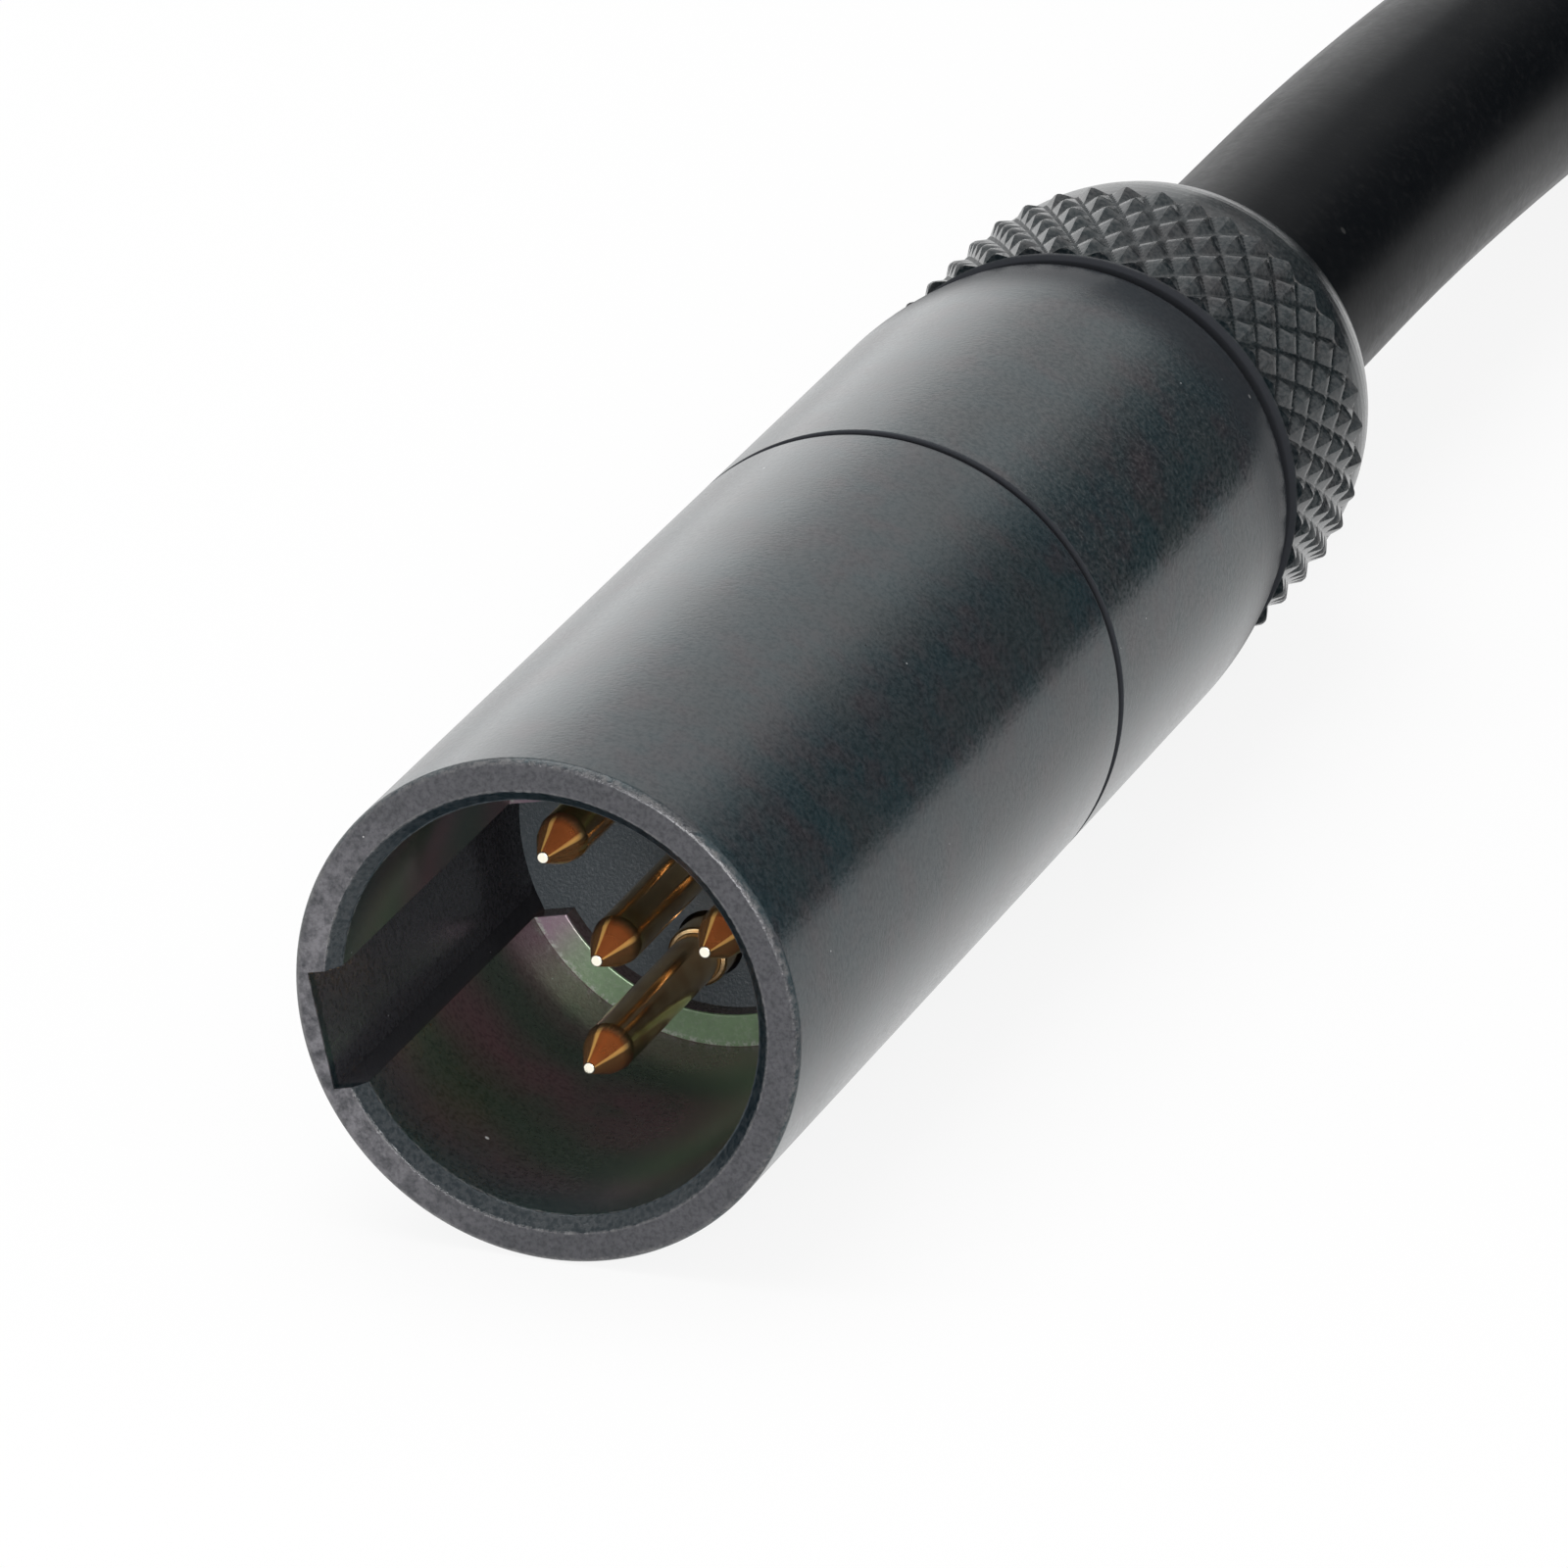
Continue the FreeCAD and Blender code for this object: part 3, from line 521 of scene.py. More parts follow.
@dataclass(frozen=True)
class SocketOxide(BlackOxide):
    """The coating of the front sleeve: grey on the rim, thin and iridescent inside."""

    rim_outer: float = 5.0
    mouth: float = 4.47
    bore: float = 4.2
    lip: float = 0.27
    ledge: float = 9.13
    groove: float = 4.67
    groove_half: float = 1.2
    fringe: float = 3.8
    fringe_start: float = 5.0
    rim: Colour = (0.046, 0.046, 0.053)
    rim_dark: Colour = (0.031, 0.032, 0.037)
    rim_worn: Colour = (0.125, 0.121, 0.132)
    chamfer: Colour = (0.015, 0.024, 0.029)
    # Painted light: one side of the mouth's chamfer is painted lighter.
    chamfer_painted_light: Colour = (0.065, 0.080, 0.090)
    painted_light_side: Point = (-0.883, -0.469)
    mouth_wall: Colour = (0.004, 0.010, 0.014)
    green: Colour = (0.037, 0.056, 0.037)
    plum: Colour = (0.098, 0.050, 0.056)
    slate: Colour = (0.018, 0.036, 0.038)
    ledge_green: Colour = (0.19, 0.28, 0.165)
    ledge_pink: Colour = (0.27, 0.19, 0.235)
    ledge_edge: Colour = (0.4, 0.42, 0.38)
    ledge_bare: float = 0.4
    mottles: Noise = Noise(3.2, 4.0, 21.0, 0.75)
    swirls: Noise = Noise(0.3, 2.0, 11.0)
    thinnings: Noise = Noise(0.7, 3.0, 13.0)

    def over(self, paint: Paint, colour: Signal, grain: Signal) -> Signal:
        """Lays the rim's grey, the mouth's blue with painted light on one side of its chamfer, the bore's
        green and plum, and the ledge's wash.

        Args:
            paint: the material under construction.
            colour: the coating's colour.
            grain: the coating's fine noise.

        Returns:
            The colour with the others over it.
        """
        beside_key = abs(paint.math("ARCTAN2", paint.up, paint.across)) / math.pi
        mottle = paint.noise(self.mottles)
        face = (paint.along < 0.05) * paint.radius.rise(self.mouth - 0.06, self.mouth)
        face = face * paint.radius.rise(self.rim_outer + 0.08, self.rim_outer)
        grey = paint.mix(beside_key.rise(0.42, 0.1), self.rim, self.rim_worn)
        grey = paint.mix(mottle.rise(0.66, 0.34), grey, self.rim_dark)
        colour = paint.mix(face, colour, grey)
        lip = (paint.radius < self.mouth) * (paint.along < self.lip + 0.02)
        wall = paint.along.rise(self.lip, self.lip - 0.06)
        # Painted light: the chamfer turns lighter towards one side.
        side = (paint.across * self.painted_light_side[0] + paint.up * self.painted_light_side[1]) / self.mouth
        chamfer = paint.mix(side.rise(-0.45, 0.35), self.chamfer, self.chamfer_painted_light)
        colour = paint.mix(lip, colour, paint.mix(wall, chamfer, self.mouth_wall))
        swirl = paint.noise(self.swirls)
        thin = paint.noise(self.thinnings)
        depth = (paint.along - self.fringe_start + (swirl - 0.5) * 3.0) * (2 * math.pi / self.fringe)
        bands = (depth.math("COSINE") * 0.5 + 0.5) * thin.rise(0.15, 0.5)
        bore = paint.mix(bands, self.green, self.plum)
        bore = paint.mix(paint.along.rise(3.0, 0.5) * 0.8, bore, self.slate)
        inside = paint.radius.rise(self.bore + 0.06, self.bore + 0.02)
        slot = paint.across.rise(0.0, 0.5) * (abs(paint.up) < self.groove_half)
        slot = slot * (paint.across < self.groove + 0.01)
        deep = paint.along > self.lip
        colour = paint.mix(slot * deep, colour, self.rim)
        colour = paint.mix(inside * deep, colour, bore)
        wash = (beside_key + (thin - 0.5) * 0.1).rise(0.22, 0.1)
        ledge = paint.mix(wash, self.ledge_green, self.ledge_pink)
        ledge = paint.mix((grain - 0.5).held() * 1.2, ledge, self.ledge_edge)
        sparkle = paint.radius.rise(self.bore - 0.14, self.bore - 0.04) * grain.rise(0.45, 0.6)
        ledge = paint.mix(sparkle, ledge, self.ledge_edge)
        return paint.mix(self.on_ledge(paint), colour, ledge)

    def on_ledge(self, paint: Paint) -> Signal:
        """Marks the ledge's front face."""
        front = (paint.along > self.ledge - 0.04) * (paint.along < self.ledge + 0.05)
        return front * (paint.radius < self.bore - 0.01)

    def bare(self, paint: Paint) -> Signal:
        """Shows half bare metal on the ledge's front face."""
        return self.on_ledge(paint) * self.ledge_bare


@dataclass(frozen=True)
class KnurledOxide(BlackOxide):
    """The coating of the nut, rubbed on the knurl's points."""

    crest: float = 4.98
    knurl_back: float = 35.32
    point_wear: float = 0.35

    def wear(self, paint: Paint) -> Signal:
        """Adds the knurl's points to the turned edges.

        Args:
            paint: the material under construction.

        Returns:
            1 where it may be rubbed, 0 elsewhere.
        """
        points = paint.radius.rise(self.crest - 0.06, self.crest)
        points = points * (paint.along < self.knurl_back)
        return paint.math("MAXIMUM", super().wear(paint), points * self.point_wear)


@dataclass(frozen=True)
class GoldPlate(Finish):
    """Gold plate: polished, with painted highlights along two lines of its cone, a painted red reflection
    between them, and a painted highlight on the very tip.

    The painted highlight lines stand at two angles about the contact, in degrees from the key groove. A
    reach is a pair of cosines between which a mark fades in, and the last fields say how far each mark
    changes the metal's share.
    """

    tone: Colour = (0.82, 0.58, 0.31)
    deep: Colour = (0.60, 0.36, 0.17)
    point: Colour = (0.80, 0.42, 0.18)
    # Colour of the painted red reflection between the painted highlight lines.
    point_red: Colour = (1.0, 0.30, 0.09)
    gleam: Colour = (1.0, 0.58, 0.17)
    tip: Colour = (1.0, 0.95, 0.80)
    point_back: float = 3.75
    tip_back: float = 2.81
    # Angles of the painted highlight lines on the cone.
    painted_glint_angles: Point = (-171.8, -86.3)
    blotches: Noise = Noise(1.6, 3.0, 1.0)
    fines: Noise = Noise(14.0, 2.0, 4.0)
    streak_scale: float = 2.6
    streak_detail: float = 2.0
    streak_height: float = 0.003
    fine_height: float = 0.0005
    line_reach: Point = (0.985, 0.998)
    red_reach: Point = (0.62, 0.76)
    polish: float = 0.13
    full_metal: float = 0.98
    cone_metal: float = 0.87
    blotch_gloss: float = 0.08
    line_metal: float = 0.48
    red_metal: float = 0.13
    blotch_metal: float = 0.2

    def paint(self, place: Place) -> bpy.types.Material:
        """Makes the plate, with turning streaks, painted highlight lines and a painted red reflection on its
        cone, and a painted highlight on its tip.

        Args:
            place: where the piece's own frame lies.

        Returns:
            The material.
        """
        paint = self.start(place)
        blotch = paint.noise(self.blotches)
        fine = paint.noise(self.fines)
        own = paint.value("ShaderNodeAttribute", None, "Vector", attribute_name=TURNING)
        inputs = {"Vector": own, "Scale": self.streak_scale, "Detail": self.streak_detail}
        streaks = paint.value("ShaderNodeTexNoise", inputs)
        # Painted highlight lines at two fixed angles, and a painted red reflection between them.
        first, second = self.painted_glint_angles
        line = paint.math("MAXIMUM", self.facing(paint, own, first), self.facing(paint, own, second))
        line = line.rise(*self.line_reach) * (0.6 + streaks * 0.6)
        red = self.facing(paint, own, (first + second) / 2).rise(*self.red_reach)
        point = paint.along.rise(self.point_back + 0.15, self.point_back - 0.15)
        colour = paint.mix(blotch.rise(0.35, 0.7), self.tone, self.deep)
        cone = paint.mix(line, paint.mix(red, self.point, self.point_red), self.gleam)
        colour = paint.mix(point, colour, cone)
        # The pale tip is a painted highlight.
        tip = paint.along < self.tip_back
        colour = paint.mix(tip, colour, self.tip)
        roughness = self.polish + blotch * self.blotch_gloss
        height = streaks * self.streak_height + fine * self.fine_height
        share = self.cone_metal - line * self.line_metal - red * self.red_metal
        share = share + (blotch - 0.5) * self.blotch_metal
        metal = self.full_metal - (point - tip).held() * (self.full_metal - share)
        return paint.finish(colour, roughness, height, Metallic=metal.held())

    def facing(self, paint: Paint, own: Signal, angle: float) -> Signal:
        """Gives the cosine between a contact's outward direction and an angle about its axis."""
        across, _, up = paint.split(own)
        return across * math.cos(math.radians(angle)) + up * math.sin(math.radians(angle))


@dataclass(frozen=True)
class Moulded(Finish):
    """A moulded plastic, rubber or solder: its grain, its flecks and a slow drift of tone."""

    tone: Colour = (0.02, 0.02, 0.02)
    drift: Colour = (0.03, 0.03, 0.03)
    fleck: Colour = (0.2, 0.2, 0.2)
    flecks: float = 0.05
    fleck_scale: float = 4.0
    fleck_size: float = 0.16
    grain_scale: float = 8.0
    grain: float = 0.004
    roughness: float = 0.45
    metallic: float = 0.0
    density: float = 1.48
    drifts: Noise = Noise(0.6, 2.0, 1.0)
    grain_share: float = 0.5
    fleck_share: float = 0.6
    grain_gloss: float = 0.2
    drift_gloss: float = 0.1

    def paint(self, place: Place) -> bpy.types.Material:
        """Makes the material.

        Args:
            place: where the piece's own frame lies.

        Returns:
            The material.
        """
        paint = self.start(place)
        slow = paint.noise(self.drifts)
        grain = paint.noise(Noise(self.grain_scale, 4.0, 3.0, 0.65))
        flecks = paint.specks(Specks(self.fleck_scale, self.flecks, self.fleck_size, 6.0))
        colour = paint.mix(slow.rise(0.35, 0.65), self.tone, self.drift)
        colour = paint.mix((grain - 0.5) * self.grain_share * (grain > 0.5), colour, self.fleck)
        colour = paint.mix(flecks * self.fleck_share, colour, self.fleck)
        roughness = self.roughness + (grain - 0.5) * self.grain_gloss
        roughness = (roughness + (slow - 0.5) * self.drift_gloss).held()
        relief = grain * self.grain
        return paint.finish(colour, roughness, relief, Metallic=self.metallic, IOR=self.density)


class Finishes:
    """Every finish of the cable, painted once for each place."""

    SHELL = SocketOxide(
        "shell_oxide",
        "shell_finish",
        worn=(0.1, 0.098, 0.1),
        edges=((5.04, 0.05, 0.1), (4.47, 0.0, 0.05), (4.2, 0.27, 0.04)),
        # Painted shade in the gap between the sleeve and the barrel.
        gap_shade_bands=((18.9, 19.2),),
    )
    BARREL = BlackOxide(
        "barrel_oxide",
        "barrel_finish",
        edges=((4.83, 30.58, 0.07),),
        # Painted shade in the gaps at the sleeve and the nut, and on the end of the taper.
        gap_shade_bands=((18.9, 19.2), (30.66, 31.3)),
        taper_shade=(27.4, 29.7),
    )
    NUT = KnurledOxide(
        "nut_oxide",
        "nut_finish",
        tone=(0.011, 0.016, 0.019),
        cool=(0.007, 0.014, 0.017),
        warm=(0.015, 0.013, 0.015),
        density=1.4,
        edges=((4.8, 35.32, 0.08), (3.25, 38.97, 0.12)),
        # Painted shade in the gap at the nut's front.
        gap_shade_bands=((30.9, 31.22),),
    )
    GOLD = GoldPlate("contact_gold", "gold_plate")
    INSULATOR = Moulded(
        "insulator_moulding",
        "insulator_plastic",
        tone=(0.034, 0.042, 0.048),
        drift=(0.027, 0.036, 0.042),
        fleck=(0.30, 0.31, 0.33),
        flecks=0.12,
        grain_scale=14.0,
        grain=0.02,
        roughness=0.42,
    )
    COLLET = Moulded("collet_moulding", "collet_plastic", tone=linear(42, 42, 44), drift=linear(34, 34, 36))
    SLEEVE = Moulded(
        "sleeve_film",
        "sleeve_plastic",
        tone=linear(224, 222, 214),
        drift=linear(214, 210, 200),
        fleck=linear(180, 176, 168),
        roughness=0.4,
    )
    SOLDER = Moulded(
        "solder_metal",
        "solder",
        tone=linear(206, 206, 202),
        drift=linear(176, 176, 172),
        fleck=linear(120, 120, 118),
        roughness=0.28,
        metallic=1.0,
    )
    JACKET = Moulded(
        "jacket_rubber",
        "cable_jacket",
        tone=(0.0042, 0.0050, 0.0062),
        drift=(0.0032, 0.0040, 0.0052),
        fleck=(0.05, 0.05, 0.05),
        flecks=0.02,
        fleck_scale=1.4,
        grain_scale=5.0,
        grain=0.003,
        roughness=0.32,
        density=1.105,
    )
    WIRES = (
        Moulded("wire_white", "wire_white", tone=linear(230, 230, 226), drift=linear(214, 214, 210)),
        Moulded("wire_red", "wire_red", tone=linear(196, 30, 26), drift=linear(170, 24, 20)),
        Moulded("wire_black", "wire_black", tone=linear(34, 34, 36), drift=linear(26, 26, 28)),
        Moulded("wire_blue", "wire_blue", tone=linear(40, 76, 170), drift=linear(32, 62, 150)),
    )

    def __init__(self) -> None:
        """Starts with nothing painted."""
        self.painted: dict[tuple[str, Place], bpy.types.Material] = {}

    def get(self, finish: Finish, place: Place) -> bpy.types.Material:
        """Paints a finish for a place, or gives the one that is there.

        Args:
            finish: the finish.
            place: where the piece lies.

        Returns:
            The material.
        """
        key = (finish.name, place)
        if key not in self.painted:
            self.painted[key] = finish.paint(place)
        return self.painted[key]


# Turned shapes

@dataclass
class Outline:
    """The closed outline of a turned piece, from corners that may each be rounded.

    Points at the hold distance from its corners keep its flats flat, where a flat is longer than
    LONG_RUN of those distances.
    """

    corners: list[tuple[float, float, float]] = field(default_factory=list)
    hold: float = 0.03

    LONG_RUN = 8
    STEP_DEGREES = 20
    ON_AXIS = 1e-6

    def to(self, radius: float, along: float, rounding: float = 0.0) -> "Outline":
        """Adds a corner, by its distance from the axis, place along the plug and rounding."""
        self.corners.append((radius, along, rounding))
        return self

    def arc_to(
        self, radius: float, along: float, bend: float, steps: int, rounding: float = 0.0
    ) -> "Outline":
        """Adds points on an arc that bulges outward, up to a new corner.

        Args:
            radius: the end's distance from the axis.
            along: the end's place along the plug.
            bend: the arc's radius.
            steps: how many stretches the arc gets.
            rounding: the radius that the end is rounded to.

        Returns:
            The outline itself.
        """
        start = Vector(self.corners[-1][:2])
        end = Vector((radius, along))
        chord = end - start
        inward = Vector((-chord.y, chord.x)).normalized()
        centre = (start + end) / 2 + inward * math.sqrt(bend ** 2 - chord.length_squared / 4)
        first = math.atan2(start.y - centre.y, start.x - centre.x)
        last = math.atan2(end.y - centre.y, end.x - centre.x)
        for step in range(1, steps):
            turn = first + (last - first) * step / steps
            self.to(centre.x + bend * math.cos(turn), centre.y + bend * math.sin(turn))
        return self.to(radius, along, rounding)

    def points(self) -> list[Point]:
        """Works out the outline's points, with points that hold its flats flat.

        Returns:
            The points, in order.
        """
        count = len(self.corners)
        ends = [self._rounded(number) for number in range(count)]
        points: list[Point] = []
        for number in range(count):
            points.extend(ends[number])
            leave = Vector(ends[number][-1])
            run = Vector(ends[(number + 1) % count][0]) - leave
            if run.length > self.hold * self.LONG_RUN:
                for share in (self.hold / run.length, 1 - self.hold / run.length):
                    points.append(tuple(leave + run * share))
        return points

    def _rounded(self, number: int) -> list[Point]:
        """Gives the points that stand for one corner.

        Args:
            number: which corner.

        Returns:
            One point, or those of its arc.
        """
        radius, along, rounding = self.corners[number]
        corner = Vector((radius, along))
        if rounding <= 0:
            return [(radius, along)]
        before = Vector(self.corners[number - 1][:2])
        after = Vector(self.corners[(number + 1) % len(self.corners)][:2])
        inward = (corner - before).normalized()
        onward = (after - corner).normalized()
        turn = inward.angle(onward)
        cut = rounding * math.tan(turn / 2)
        start, end = corner - inward * cut, corner + onward * cut
        bisector = (onward - inward).normalized()
        centre = corner + bisector * rounding / math.cos(turn / 2)
        steps = max(2, math.ceil(math.degrees(turn) / self.STEP_DEGREES))
        first = math.atan2(start.y - centre.y, start.x - centre.x)
        sweep = math.atan2(end.y - centre.y, end.x - centre.x) - first
        sweep = (sweep + math.pi) % (2 * math.pi) - math.pi
        turns = [first + sweep * step / steps for step in range(steps + 1)]
        return [(centre.x + rounding * math.cos(a), centre.y + rounding * math.sin(a)) for a in turns]

    def turned(self, around: int) -> bmesh.types.BMesh:
        """Turns the outline about the Y axis.

        Args:
            around: how many stretches there are round the axis.

        Returns:
            A closed mesh in metres, its faces outward.
        """
        mesh = bmesh.new()
        turns = [2 * math.pi * step / around for step in range(around)]
        rings = []
        for radius, along in self.points():
            if radius < self.ON_AXIS:
                rings.append([mesh.verts.new((0.0, along * MM, 0.0))] * around)
                continue
            spots = [(radius * math.sin(turn), along, radius * math.cos(turn)) for turn in turns]
            rings.append([mesh.verts.new(Vector(spot) * MM) for spot in spots])
        for number, ring in enumerate(rings):
            other = rings[(number + 1) % len(rings)]
            for step in range(around):
                following = (step + 1) % around
                corners = dict.fromkeys((ring[step], ring[following], other[following], other[step]))
                if len(corners) > 2:
                    mesh.faces.new(list(corners))
        bmesh.ops.recalc_face_normals(mesh, faces=mesh.faces)
        return mesh


def block(low: Sequence[float], high: Sequence[float]) -> bmesh.types.BMesh:
    """Makes a cutter with flat sides.

    Args:
        low: its lowest corner in millimetres.
        high: its highest corner in millimetres.

    Returns:
        A closed mesh in metres.
    """
    mesh = bmesh.new()
    middle = (Vector(low) + Vector(high)) / 2 * MM
    spread = (Vector(high) - Vector(low)) * MM
    stretch = Matrix.Translation(middle) @ Matrix.Diagonal((*spread, 1.0))
    bmesh.ops.create_cube(mesh, size=1.0, matrix=stretch)
    return mesh


def settled(mesh: bmesh.types.BMesh, name: str) -> bpy.types.Mesh:
    """Writes a bmesh to a new mesh and frees it.

    Args:
        mesh: the bmesh.
        name: the new mesh's name.

    Returns:
        The new mesh.
    """
    shape = bpy.data.meshes.new(name)
    mesh.to_mesh(shape)
    mesh.free()
    return shape


def evaluated(item: bpy.types.Object, name: str) -> bpy.types.Mesh:
    """Makes a plain mesh of an object as its modifiers leave it, and removes the object.

    Args:
        item: the object.
        name: the new mesh's name.

    Returns:
        The plain mesh.
    """
    bpy.context.view_layer.update()
    graph = bpy.context.evaluated_depsgraph_get()
    shape = bpy.data.meshes.new_from_object(item.evaluated_get(graph), depsgraph=graph)
    shape.name = name
    item.modifiers.clear()
    bpy.data.objects.remove(item)
    return shape


def carved(solid: bmesh.types.BMesh, cutter: bmesh.types.BMesh, name: str) -> bpy.types.Mesh:
    """Cuts one mesh out of another.

    Args:
        solid: what is cut.
        cutter: what is taken away.
        name: the new mesh's name.

    Returns:
        The cut mesh.
    """
    item = put(f"{name}_blank", settled(solid, f"{name}_blank"))
    tool = put(f"{name}_cutter", settled(cutter, f"{name}_cutter"))
    modifier = item.modifiers.new("cut", "BOOLEAN")
    modifier.operation, modifier.solver, modifier.object = "DIFFERENCE", "EXACT", tool
    shape = evaluated(item, name)
    bpy.data.objects.remove(tool)
    return shape


class Workshop:
    """Turns meshes into pieces that ride on their bodies."""

    SMOOTH_BELOW = math.radians(34)

    def __init__(self, finishes: Finishes) -> None:
        """Takes the finishes that pieces are dressed in."""
        self.finishes = finishes

    def piece(
        self,
        name: str,
        shapes: Sequence[bpy.types.Mesh],
        place: Place,
        finish: Finish,
        body: str,
        stands_for: Sequence[str],
    ) -> bpy.types.Object:
        """Joins meshes into one piece, lays it at its place and lets it ride on its body.

        Args:
            name: the piece's name.
            shapes: its meshes in the plug's own frame, in metres.
            place: where the plug lies.
            finish: the finish that it is dressed in.
            body: the CAD body that it rides on.
            stands_for: the CAD nodes that it replaces.

        Returns:
            The piece.
        """
        whole = bmesh.new()
        for shape in shapes:
            whole.from_mesh(shape)
        bmesh.ops.transform(whole, matrix=place.matrix(), verts=whole.verts)
        joined = settled(whole, name)
        for shape in shapes:
            bpy.data.meshes.remove(shape)
        joined.materials.clear()
        joined.materials.append(self.finishes.get(finish, place))
        for face in joined.polygons:
            face.material_index = 0
        joined.shade_smooth()
        joined.set_sharp_from_angle(angle=self.SMOOTH_BELOW)
        item = put(name, joined)
        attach(item, body)
        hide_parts(*stands_for)
        LOG.info("%s: %d faces on %s", name, len(joined.polygons), body)
        return item

    def dress(self, node: str, finish: Finish, place: Place) -> bpy.types.Object:
        """Gives a CAD node that stays its finish.

        Args:
            node: the node's name.
            finish: its finish.
            place: where its plug lies.

        Returns:
            The node's object.
        """
        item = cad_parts[node]
        material = self.finishes.get(finish, place)
        if not item.material_slots:
            item.data.materials.append(material)
        for holder in item.material_slots:
            holder.link = "OBJECT"
            holder.material = material
        LOG.info("%s: dressed in %s", node, finish.name)
        return item


# Rings with a knurl or a thread, made by Geometry Nodes

class Relief(Enum):
    """What the outer face of a ring carries."""

    KNURL = "knurl"
    THREAD = "thread"


@dataclass
class ReliefRing:
    """A closed ring about the plug's axis, with a relief on its outer face.

    Flat is the share of a crest that is cut off level, and soft is how far its edges blend. A
    thread runs in and out over the shares RUN_IN and RUN_OUT of its length.
    """

    name: str
    relief: Relief
    front: float
    back: float
    crest: float
    depth: float
    inside: float
    columns: float
    rows: float
    flat: float
    soft: float
    around: int
    lengthwise: int

    SIZES = ("Front", "Back", "Crest", "Depth", "Inside", "Columns", "Rows", "Flat", "Soft")
    COUNTS = ("Around", "Lengthwise")
    SEAM = 1e-7
    RUN_IN = 0.12
    RUN_OUT = 0.1

    def tree(self) -> bpy.types.NodeTree:
        """Builds the node tree, whose inputs are the ring's sizes.

        Returns:
            The tree.
        """
        tree = bpy.data.node_groups.new(f"{self.name}_{self.relief.value}", "GeometryNodeTree")
        board = Board(tree)
        tree.interface.new_socket("Geometry", in_out="OUTPUT", socket_type="NodeSocketGeometry")
        kinds = dict.fromkeys(self.SIZES, "Float")
        kinds.update(dict.fromkeys(self.COUNTS, "Int"), Finish="Material")
        for name, kind in kinds.items():
            tree.interface.new_socket(name, in_out="INPUT", socket_type=f"NodeSocket{kind}")
        group = board.place("NodeGroupInput")
        size = {name: board.signal(group, name) for name in kinds}
        lengthwise = size["Lengthwise"]
        counts = {"Vertices X": size["Around"] + 1, "Vertices Y": lengthwise + 3}
        grid = board.value("GeometryNodeMeshGrid", {"Size X": 1.0, "Size Y": 1.0, **counts})
        east, north, _ = board.split(board.value("GeometryNodeInputPosition"))
        turn = east + 0.5
        row = ((north + 0.5) * (lengthwise + 2)).math("ROUND")
        share = ((row - 1) / (lengthwise - 1)).held()
        closing = row > lengthwise + 1.5
        hidden = board.math("MAXIMUM", row < 0.5, row > lengthwise + 0.5)
        along = size["Front"] + share * (1 - closing) * (size["Back"] - size["Front"])
        height = self.height(board, turn, share, size)
        radius = size["Crest"] - size["Depth"] * (1 - height)
        radius = radius + hidden * (size["Inside"] - radius)
        angle = turn * (2 * math.pi)
        spot = {0: radius * angle.math("SINE") * MM, 1: along * MM, 2: radius * angle.math("COSINE") * MM}
        spots = board.value("ShaderNodeCombineXYZ", spot)
        shaped = board.value("GeometryNodeSetPosition", {"Geometry": grid, "Position": spots})
        closed = board.value("GeometryNodeMergeByDistance", {"Geometry": shaped, "Distance": self.SEAM})
        real = board.value("GeometryNodeRealizeInstances", {"Geometry": closed})
        dressed = board.value("GeometryNodeSetMaterial", {"Geometry": real, "Material": size["Finish"]})
        board.place("NodeGroupOutput", None, {"Geometry": dressed})
        return tree

    def height(self, board: Board, turn: Signal, share: Signal, size: dict[str, Signal]) -> Signal:
        """Works out the relief's height, 0 at its roots and 1 at its crests.

        Args:
            board: the tree under construction.
            turn: the place round the axis, 0 to 1.
            share: the place along the ring, 0 to 1.
            size: the ring's sizes.

        Returns:
            The height.
        """
        rows = share * size["Rows"]
        if self.relief is Relief.KNURL:
            columns = turn * size["Columns"]
            rising = abs((columns + rows).fraction() - 0.5) * 2
            falling = abs((columns - rows).fraction() - 0.5) * 2
            low = board.math("SMOOTH_MIN", rising, falling, size["Soft"])
        else:
            rising = abs((rows - turn * size["Columns"]).fraction() - 0.5) * 2
            low = rising * (share.rise(0.0, self.RUN_IN) * share.rise(1.0, 1.0 - self.RUN_OUT))
        crest = board.math("SMOOTH_MIN", low / (1 - size["Flat"]), 1.0, size["Soft"])
        return board.math("MAXIMUM", crest, 0.0)

    def shape(self, material: bpy.types.Material) -> bpy.types.Mesh:
        """Makes the ring as a plain mesh.

        Args:
            material: the ring's material.

        Returns:
            The mesh, in the plug's own frame.
        """
        tree = self.tree()
        item = put(self.name, bpy.data.meshes.new(self.name))
        modifier = item.modifiers.new("relief", "NODES")
        modifier.node_group = tree
        values = {name: float(getattr(self, name.lower())) for name in self.SIZES}
        values.update({name: getattr(self, name.lower()) for name in self.COUNTS})
        values["Finish"] = material
        for socket in tree.interface.items_tree:
            if socket.in_out == "INPUT":
                modifier[socket.identifier] = values[socket.name]
        shape = evaluated(item, self.name)
        mesh = bmesh.new()
        mesh.from_mesh(shape)
        bmesh.ops.recalc_face_normals(mesh, faces=mesh.faces)
        mesh.to_mesh(shape)
        mesh.free()
        bpy.data.node_groups.remove(tree)
        return shape


# The plug

class End(Enum):
    """The two ends of the cable, each with the prefix of its names."""

    NEAR = ""
    FAR = "far_"


PLACES = {End.NEAR: Place((0.0, 0.0, 0.0), 192.3), End.FAR: Place((64.0, 16.0, 0.0), 118.0)}


